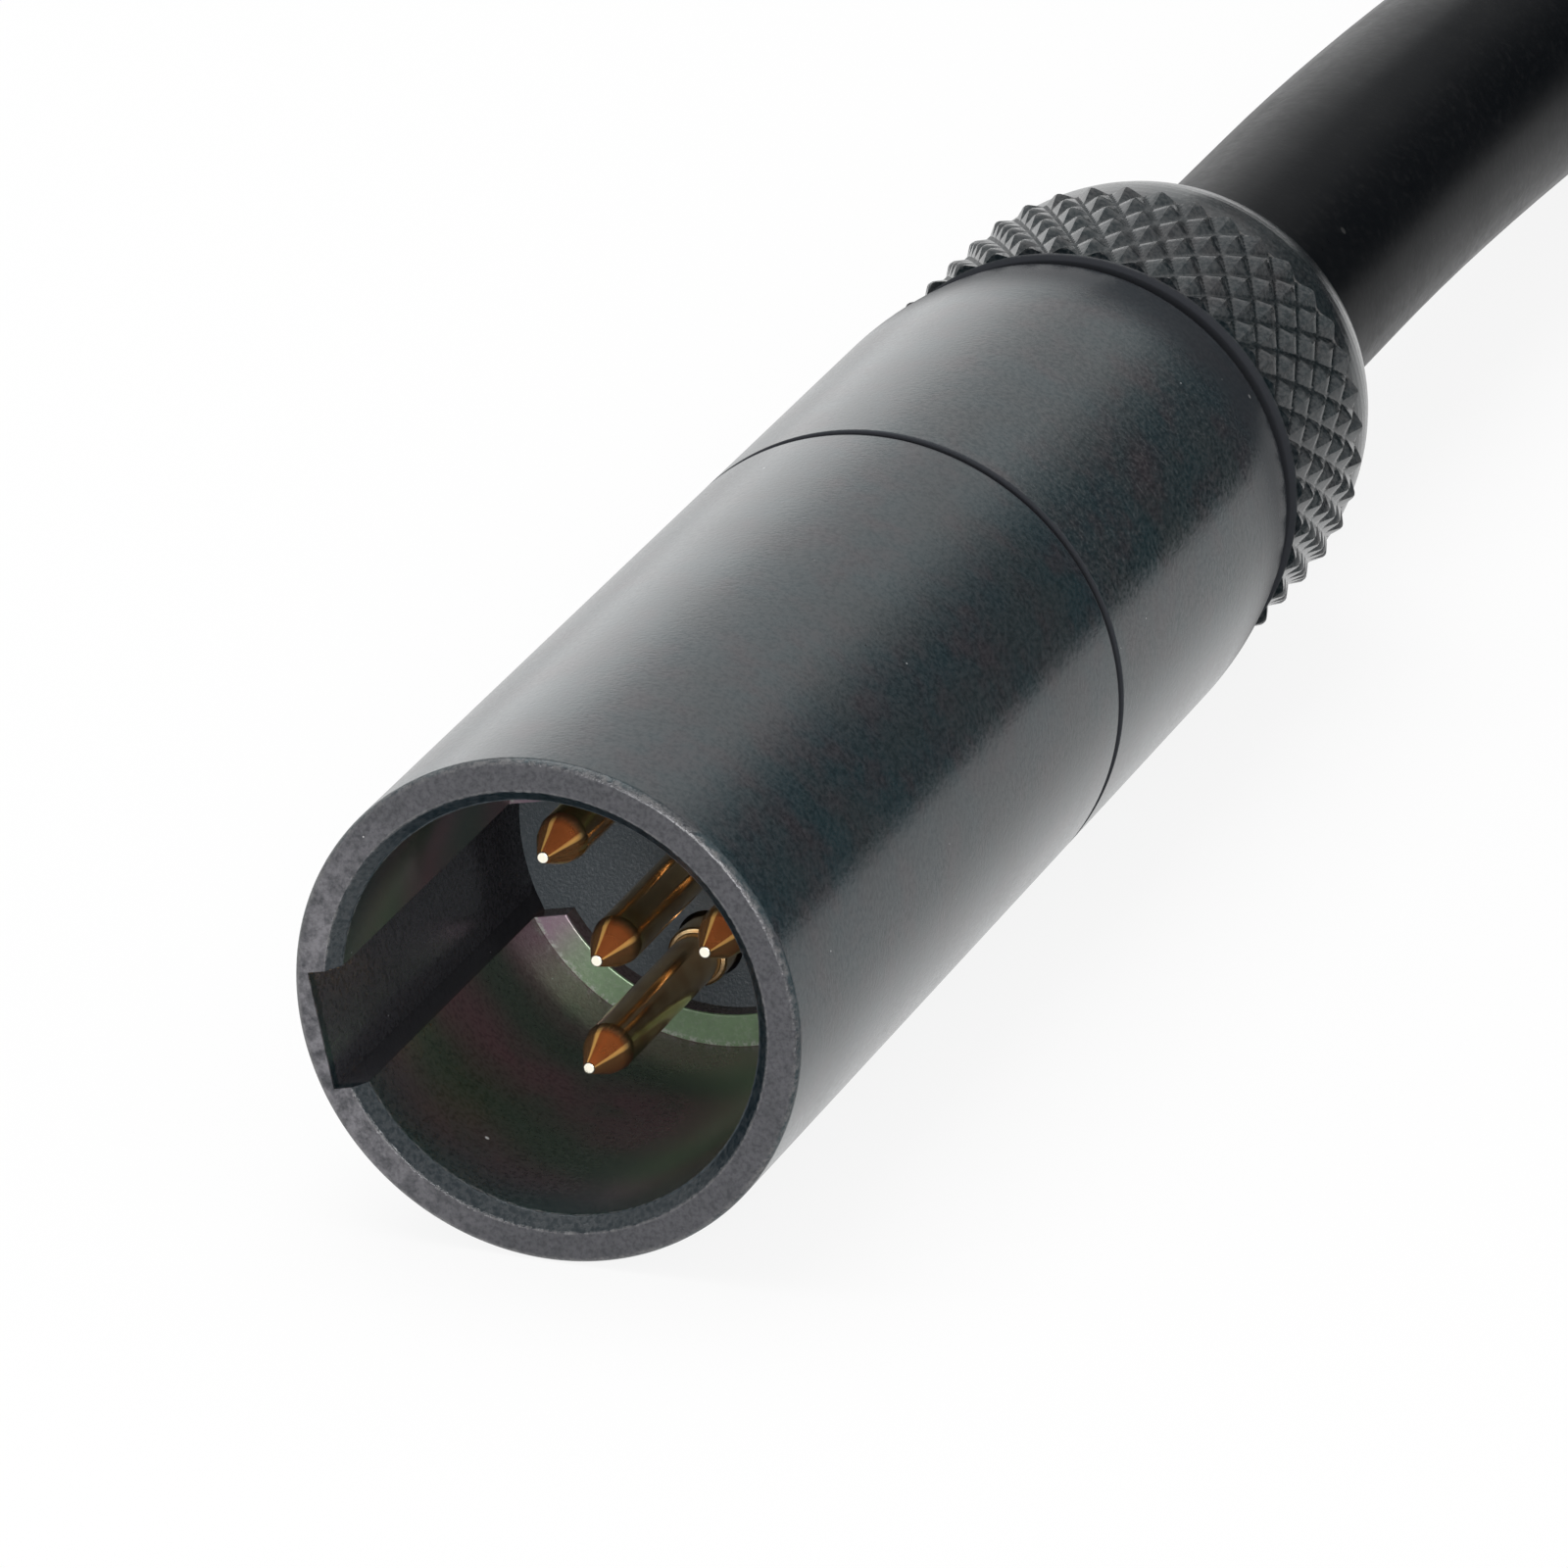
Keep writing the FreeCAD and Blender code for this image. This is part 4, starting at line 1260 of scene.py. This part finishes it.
@dataclass
class Contact:
    """One turned contact, with its collar and the open solder cup behind it."""

    radius: float = 0.5
    tip_radius: float = 0.11
    tip_front: float = 2.78
    cone_back: float = 3.6
    cone_step: float = 0.07
    shaft_front: float = 3.93
    shoulder_round: float = 0.12
    collar_radius: float = 0.62
    collar_front: float = 8.8
    collar_back: float = 10.98
    neck_back: float = 13.88
    cup_radius: float = 0.6
    cup_bore: float = 0.42
    cup_front: float = 14.0
    cup_floor: float = 14.58
    cup_back: float = 16.88
    window_low: Spot = (0.21, 15.48, -1.2)
    window_high: Spot = (1.2, 17.48, 1.2)
    lengthwise_share: float = 0.15
    around: int = 48

    def shape(self, name: str) -> bpy.types.Mesh:
        """Turns the contact about its own axis and cuts the window of its cup.

        Args:
            name: the mesh's name.

        Returns:
            The mesh.
        """
        outline = (
            Outline(hold=0.02)
            .to(0.0, self.tip_front)
            .to(self.tip_radius, self.tip_front, 0.03)
            .to(self.radius - self.cone_step, self.cone_back, self.shoulder_round)
            .to(self.radius, self.shaft_front, self.shoulder_round)
            .to(self.radius, self.collar_front, 0.02)
            .to(self.collar_radius, self.collar_front, 0.06)
            .to(self.collar_radius, self.collar_back)
            .to(self.radius, self.collar_back)
            .to(self.radius, self.neck_back)
            .to(self.cup_radius, self.cup_front)
            .to(self.cup_radius, self.cup_back)
            .to(self.cup_bore, self.cup_back)
            .to(self.cup_bore, self.cup_floor)
            .to(0.0, self.cup_floor)
        )
        return carved(outline.turned(self.around), block(self.window_low, self.window_high), name)

    def mark_turning(self, shape: bpy.types.Mesh, across: float, up: float) -> None:
        """Keeps on a contact's points which way each lies from the contact's own axis.

        Args:
            shape: the contact, standing in its place.
            across: its axis's place across the plug.
            up: its axis's place up the plug.
        """
        own = shape.attributes.new(TURNING, "FLOAT_VECTOR", "POINT")
        for vertex, value in zip(shape.vertices, own.data):
            aside, along, above = vertex.co / MM
            aside -= across
            above -= up
            reach = max(math.hypot(aside, above), 0.01)
            value.vector = (aside / reach, along * self.lengthwise_share, above / reach)


@dataclass
class Plug:
    """One mini XLR plug: the sizes of its visible pieces, and how they are made and dressed."""

    end: End
    place: Place
    workshop: Workshop
    shell_radius: float = 5.1
    shell_length: float = 18.95
    rim_round: float = 0.16
    mouth_radius: float = 4.47
    mouth_depth: float = 0.27
    socket_radius: float = 4.2
    socket_depth: float = 9.13
    ledge_radius: float = 3.54
    ledge_back: float = 9.58
    insert_bore: float = 4.18
    insulator_back: float = 13.58
    thread_bore: float = 4.43
    thread_radius: float = 4.4
    key_half: float = 1.19
    key_inner: float = 2.945
    key_floor: float = 4.67
    barrel_front: float = 19.15
    barrel_back: float = 30.6
    barrel_bore: float = 3.5
    taper_length: float = 2.7
    taper_end_radius: float = 4.84
    taper_bend: float = 14.2
    tail_radius: float = 4.15
    tail_end: float = 34.2
    tail_thread_depth: float = 0.16
    tail_thread_turns: float = 4.2
    tail_thread_lap: float = 0.04
    tail_thread_front: float = 30.55
    tail_thread_back: float = 34.1
    seat_depth: float = 0.4
    nut_front: float = 31.12
    nut_back: float = 39.0
    nut_thread_bore: float = 4.23
    nut_thread_end: float = 34.52
    nut_head_bore: float = 3.95
    nut_lip_bore: float = 3.55
    nut_lip_front: float = 35.3
    nut_lip_back: float = 35.7
    nut_seat_front: float = 36.3
    nut_seat_back: float = 37.8
    nut_seat_radius: float = 3.45
    crest_radius: float = 4.98
    knurl_front: float = 31.27
    knurl_back: float = 35.32
    knurl_depth: float = 0.19
    knurl_columns: int = 40
    knurl_rows: int = 3
    knurl_gap: float = 0.03
    knurl_lap: float = 0.05
    front_edge_radius: float = 4.74
    knurl_edge_radius: float = 4.88
    points_per_diamond: int = 12
    dome_radius: float = 4.8
    dome_end_radius: float = 3.32
    dome_bend: float = 4.9
    exit_radius: float = 3.15
    pin_circle: float = 2.25
    pin_angles: tuple[float, ...] = (180.0, 73.5, -73.5)
    around: int = 192

    def name(self, piece: str) -> str:
        """Gives a piece of this plug its full name."""
        return f"{self.end.value}{piece}"

    def keep(
        self, piece: str, shapes: list[bpy.types.Mesh], finish: Finish, node: str, body: str = ROOT_BODY
    ) -> bpy.types.Object:
        """Makes meshes a piece of this plug that stands for one of its CAD nodes."""
        return self.workshop.piece(self.name(piece), shapes, self.place, finish, body, [self.name(node)])

    def build(self) -> list[bpy.types.Object]:
        """Builds and dresses every piece.

        Returns:
            The plug's pieces, with the CAD nodes that stay.
        """
        pieces = [self.make_shell(), self.make_barrel(), self.make_nut(), *self.make_pins()]
        finishes = self.workshop.finishes
        dressed = {
            "insulator": finishes.INSULATOR,
            "insulating_sleeve": finishes.SLEEVE,
            "cable_collet": finishes.COLLET,
            "solder_joints": finishes.SOLDER,
        }
        dressed.update({f"wire_{number}": finish for number, finish in enumerate(finishes.WIRES, start=1)})
        for node, finish in dressed.items():
            pieces.append(self.workshop.dress(self.name(node), finish, self.place))
        return pieces

    def make_shell(self) -> bpy.types.Object:
        """Turns the front sleeve and cuts its key groove.

        Returns:
            The piece.
        """
        outline = (
            Outline()
            .to(self.mouth_radius, 0.0, 0.04)
            .to(self.shell_radius, 0.0, self.rim_round)
            .to(self.shell_radius, self.shell_length, 0.05)
            .to(self.thread_bore, self.shell_length)
            .to(self.thread_bore, self.insulator_back)
            .to(self.insert_bore, self.insulator_back)
            .to(self.insert_bore, self.ledge_back)
            .to(self.ledge_radius, self.ledge_back)
            .to(self.ledge_radius, self.socket_depth, 0.03)
            .to(self.socket_radius, self.socket_depth)
            .to(self.socket_radius, self.mouth_depth, 0.05)
        )
        groove = block(
            (self.key_inner, -1.0, -self.key_half),
            (self.key_floor, self.shell_length + 1.0, self.key_half),
        )
        shape = carved(outline.turned(self.around), groove, self.name("front_sleeve"))
        return self.keep("front_sleeve", [shape], self.workshop.finishes.SHELL, "mating_shell")

    def make_barrel(self) -> bpy.types.Object:
        """Turns the rear barrel, with the thread of its tail.

        Returns:
            The piece.
        """
        root = self.tail_radius - self.tail_thread_depth
        outline = (
            Outline()
            .to(self.barrel_bore, self.insulator_back)
            .to(self.thread_radius, self.insulator_back, 0.2)
            .to(self.thread_radius, self.barrel_front)
            .to(self.shell_radius, self.barrel_front, 0.07)
            .to(self.shell_radius, self.barrel_back - self.taper_length)
            .arc_to(self.taper_end_radius, self.barrel_back, self.taper_bend, 10, 0.08)
            .to(root, self.barrel_back)
            .to(root, self.tail_end, 0.03)
            .to(self.barrel_bore + self.seat_depth, self.tail_end)
            .to(self.barrel_bore, self.tail_end - self.seat_depth)
        )
        body = settled(outline.turned(self.around), self.name("barrel_body"))
        finish = self.workshop.finishes.BARREL
        thread = ReliefRing(
            name=self.name("tail_thread"),
            relief=Relief.THREAD,
            front=self.tail_thread_front,
            back=self.tail_thread_back,
            crest=self.tail_radius,
            depth=self.tail_thread_depth + self.tail_thread_lap,
            inside=root - self.tail_thread_lap,
            columns=1.0,
            rows=self.tail_thread_turns,
            flat=0.3,
            soft=0.08,
            around=96,
            lengthwise=64,
        )
        shapes = [body, thread.shape(self.workshop.finishes.get(finish, self.place))]
        return self.keep("rear_sleeve", shapes, finish, "rear_barrel")

    def make_nut(self) -> bpy.types.Object:
        """Turns the clamping nut and lays its crossed knurl round it.

        Returns:
            The piece.
        """
        under = self.crest_radius - self.knurl_depth - self.knurl_gap
        outline = (
            Outline()
            .to(self.nut_thread_bore, self.nut_front)
            .to(self.front_edge_radius, self.nut_front, 0.05)
            .to(self.knurl_edge_radius, self.knurl_front, 0.03)
            .to(under, self.knurl_front + self.knurl_gap)
            .to(under, self.knurl_back - self.knurl_gap)
            .to(self.dome_radius, self.knurl_back - self.knurl_gap, 0.03)
            .to(self.dome_radius, self.knurl_back)
            .arc_to(self.dome_end_radius, self.nut_back, self.dome_bend, 14, 0.1)
            .to(self.exit_radius, self.nut_back, 0.08)
            .to(self.exit_radius, self.nut_seat_back)
            .to(self.nut_seat_radius, self.nut_seat_back)
            .to(self.nut_head_bore, self.nut_seat_front)
            .to(self.nut_head_bore, self.nut_lip_back)
            .to(self.nut_lip_bore, self.nut_lip_back)
            .to(self.nut_lip_bore, self.nut_lip_front)
            .to(self.nut_head_bore, self.nut_lip_front)
            .to(self.nut_head_bore, self.nut_thread_end)
            .to(self.nut_thread_bore, self.nut_thread_end)
        )
        body = settled(outline.turned(self.around), self.name("nut_body"))
        finish = self.workshop.finishes.NUT
        knurl = ReliefRing(
            name=self.name("nut_knurl"),
            relief=Relief.KNURL,
            front=self.knurl_front,
            back=self.knurl_back,
            crest=self.crest_radius,
            depth=self.knurl_depth,
            inside=under - self.knurl_lap,
            columns=self.knurl_columns,
            rows=self.knurl_rows,
            flat=0.12,
            soft=0.1,
            around=self.knurl_columns * self.points_per_diamond,
            lengthwise=self.knurl_rows * self.points_per_diamond + 1,
        )
        shapes = [body, knurl.shape(self.workshop.finishes.get(finish, self.place))]
        return self.keep("clamping_nut", shapes, finish, "knurled_nut", self.name("nut"))

    def make_pins(self) -> list[bpy.types.Object]:
        """Stands the four contacts in their places.

        Returns:
            The pieces.
        """
        stands = [(0.0, 0.0, 0.0)]
        for angle in self.pin_angles:
            turn = math.radians(angle)
            stands.append((self.pin_circle * math.cos(turn), self.pin_circle * math.sin(turn), angle))
        contact = Contact()
        pieces = []
        for number, (across, up, angle) in enumerate(stands, start=1):
            shape = contact.shape(self.name(f"contact_{number}"))
            shape.transform(Place((across, 0.0, up), angle).matrix())
            contact.mark_turning(shape, across, up)
            gold = self.workshop.finishes.GOLD
            pieces.append(self.keep(f"contact_{number}", [shape], gold, f"contact_pin_{number}"))
        return pieces


# The cable

@dataclass
class Cable:
    """The round cable between the plugs, with its unseen length put away in a coil.

    The coil is two layers of turns. The route goes inward on the lower layer, climbs and comes
    out on the upper one. A run's points are their places along the plugs and their heights.
    """

    diameter: float = 5.66
    near_run: tuple[Point, ...] = ((26.0, 0.0), (40.0, 0.0), (55.0, 0.0), (80.0, -2.27), (94.0, -2.27))
    far_run: tuple[Point, ...] = ((94.0, 3.39), (82.0, 3.39), (64.0, 0.0), (53.0, 0.0), (42.0, 0.0))
    far_side: float = 64.0
    nut_back: float = 39.0
    resting: float = -2.27
    above: float = 3.39
    track: float = 32.0
    inner_track: float = 24.75
    centre: float = 114.2
    layer_degrees: int = 450
    step_degrees: int = 18
    climb_degrees: int = 66
    length: float = 0.607
    round_steps: int = 10
    span_steps: int = 10

    def route(self) -> list[Spot]:
        """Lists the points that the cable follows, in millimetres.

        Returns:
            The points from the near plug to the far one.
        """
        points = [(0.0, along, up) for along, up in self.near_run]
        for turn in range(0, 2 * self.layer_degrees + 1, self.step_degrees):
            inward = 1 - abs(turn - self.layer_degrees) / self.layer_degrees
            track = self.track - (self.track - self.inner_track) * inward
            climb = min(1.0, max(0.0, (turn - self.layer_degrees) / self.climb_degrees))
            angle = math.radians(turn)
            across = self.track - track * math.cos(angle)
            along = self.centre + track * math.sin(angle)
            points.append((across, along, self.resting + (self.above - self.resting) * climb))
        return points + [(self.far_side, along, up) for along, up in self.far_run]

    def build(self, workshop: Workshop, far_pieces: Sequence[bpy.types.Object]) -> bpy.types.Object:
        """Makes the cable as one smooth spline.

        Args:
            workshop: what dresses it.
            far_pieces: the pieces of the plug on its far end; not used.

        Returns:
            The cable.
        """
        curve = bpy.data.curves.new("jacketed_cable", "CURVE")
        curve.dimensions = "3D"
        curve.bevel_depth = self.diameter / 2 * MM
        curve.bevel_resolution = self.round_steps
        curve.resolution_u = self.span_steps
        curve.use_fill_caps = True
        spline = curve.splines.new("NURBS")
        points = self.route()
        spline.points.add(len(points) - 1)
        for point, spot in zip(spline.points, points):
            point.co = (*(Vector(spot) * MM), 1.0)
        spline.order_u = 3
        spline.use_endpoint_u = True
        spline.use_smooth = True
        finish = workshop.finishes.JACKET
        curve.materials.append(workshop.finishes.get(finish, Place()))
        item = put("jacketed_cable", curve)
        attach(item, ROOT_BODY)
        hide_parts("cable", "cable_coil", "cable_tail")
        list(far_pieces)
        LOG.info("jacketed_cable: %d points", len(points))
        return item


# Camera, floor and light

@dataclass(frozen=True)
class Lamp:
    """A soft lamp: where it hangs, its width and height, and its power in watts."""

    name: str
    spot: Spot
    spread: Point
    power: float


@dataclass(frozen=True)
class DarkSide:
    """A dark side of the studio: its direction, its two reaches in degrees, and its depth."""

    side: Spot
    inner: float
    outer: float
    depth: float


@dataclass
class Studio:
    """The camera at the photograph's angle, a pale floor and soft light."""

    camera_spot: Spot = (89.455, -235.341, 103.707)
    right: Spot = (0.94098, 0.33846, 0.0)
    up: Spot = (-0.12392, 0.34453, 0.93056)
    lens: float = 330.74
    sensor: float = 36.0
    clip: Point = (0.01, 20.0)
    floor_level: float = -5.1
    floor_reach: float = 3.0
    floor_tone: Colour = (0.86, 0.86, 0.86)
    floor_seen: float = 0.88
    floor_mirrored: float = 0.97
    floor_shade: float = 0.25
    shade_from: float = 5.0
    shade_to: float = 11.0
    target: Spot = (0.0, 20.0, 0.0)
    lamps: tuple[Lamp, ...] = (
        Lamp("overhead", (-120.0, 40.0, 520.0), (420.0, 420.0), 1.6),
        Lamp("front", (80.0, -420.0, 70.0), (220.0, 220.0), 1.7),
        Lamp("back_left", (-250.0, 340.0, 60.0), (420.0, 200.0), 0.2),
    )
    dark_sides: tuple[DarkSide, ...] = (
        DarkSide((0.463, 0.876, 0.17), 3.0, 28.0, 0.92),
        DarkSide((0.0, 0.9986, -0.052), 12.0, 32.0, 0.9),
    )
    ambient: float = 0.55

    def build(self) -> None:
        """Sets up the camera, the floor, the lamps and the world."""
        self.place_camera()
        self.lay_floor()
        self.hang_lamps()
        self.light_world()
        bpy.context.scene.view_settings.view_transform = "Standard"

    def place_camera(self) -> None:
        """Stands the camera where the photograph was taken from."""
        data = bpy.data.cameras.new("camera")
        data.lens = self.lens
        data.sensor_width = self.sensor
        data.clip_start, data.clip_end = self.clip
        item = put("camera", data)
        right, up = Vector(self.right).normalized(), Vector(self.up).normalized()
        turn = Matrix((right, up, right.cross(up))).transposed().to_4x4()
        item.matrix_world = Matrix.Translation(Vector(self.camera_spot) * MM) @ turn
        bpy.context.scene.camera = item

    def lay_floor(self) -> None:
        """Lays the pale floor, which keeps the object's shadow."""
        mesh = bmesh.new()
        bmesh.ops.create_grid(mesh, x_segments=8, y_segments=8, size=self.floor_reach)
        bmesh.ops.translate(mesh, verts=mesh.verts, vec=(0.0, 0.0, self.floor_level * MM))
        floor = put("floor", settled(mesh, "floor"))
        material = bpy.data.materials.new("pale_floor")
        material.use_nodes = True
        board = Board(material.node_tree)
        rays = board.place("ShaderNodeLightPath")
        side, _, _ = board.split(board.value("ShaderNodeTexCoord", None, "Object"))
        mirrored = board.signal(rays, "Is Glossy Ray")
        level = 1 - mirrored * side.rise(self.shade_from * MM, self.shade_to * MM) * self.floor_shade
        seen = board.signal(rays, "Is Camera Ray") * self.floor_seen
        seen = board.math("MAXIMUM", seen, mirrored * self.floor_mirrored)
        through = board.signal(rays, "Is Transmission Ray") * self.floor_seen
        seen = board.math("MAXIMUM", seen, through)
        matt = board.value("ShaderNodeBsdfDiffuse", {"Color": self.floor_tone})
        white = board.value("ShaderNodeEmission", {"Color": WHITE, "Strength": level})
        board.place("ShaderNodeOutputMaterial", None, {"Surface": board.blend(seen, matt, white)})
        floor.data.materials.append(material)

    def hang_lamps(self) -> None:
        """Hangs the soft lamps, each turned to the plug."""
        for lamp in self.lamps:
            data = bpy.data.lights.new(lamp.name, "AREA")
            data.shape = "RECTANGLE"
            data.size, data.size_y = lamp.spread[0] * MM, lamp.spread[1] * MM
            data.energy = lamp.power
            aim = (Vector(self.target) - Vector(lamp.spot)).normalized()
            turn = aim.to_track_quat("-Z", "Y").to_matrix().to_4x4()
            put(lamp.name, data).matrix_world = Matrix.Translation(Vector(lamp.spot) * MM) @ turn

    def light_world(self) -> None:
        """Surrounds the scene with soft white, with dark sides low at the back."""
        world = bpy.data.worlds.new("studio")
        bpy.context.scene.world = world
        world.use_nodes = True
        board = Board(world.node_tree)
        rays = board.place("ShaderNodeLightPath")
        across, along, up = board.split(board.value("ShaderNodeTexCoord", None, "Generated"))
        tent = 1.0
        for dark in self.dark_sides:
            way = Vector(dark.side).normalized()
            facing = across * way.x + along * way.y + up * way.z
            shade = facing.rise(math.cos(math.radians(dark.outer)), math.cos(math.radians(dark.inner)))
            tent = (1 - shade * dark.depth) * tent
        soft, seen, white = (
            board.value("ShaderNodeBackground", {"Color": WHITE, "Strength": level})
            for level in (self.ambient, tent, 1.0)
        )
        gloss = board.blend(board.signal(rays, "Is Glossy Ray"), soft, seen)
        surface = board.blend(board.signal(rays, "Is Camera Ray"), gloss, white)
        board.place("ShaderNodeOutputWorld", None, {"Surface": surface})


def main() -> None:
    """Builds the studio, the cable and its two plugs."""
    logging.basicConfig(level=logging.INFO, format="%(name)s %(message)s")
    Studio().build()
    workshop = Workshop(Finishes())
    plugs = {end: Plug(end, place, workshop).build() for end, place in PLACES.items()}
    Cable().build(workshop, plugs[End.FAR])


if __name__ == "__main__":
    main()
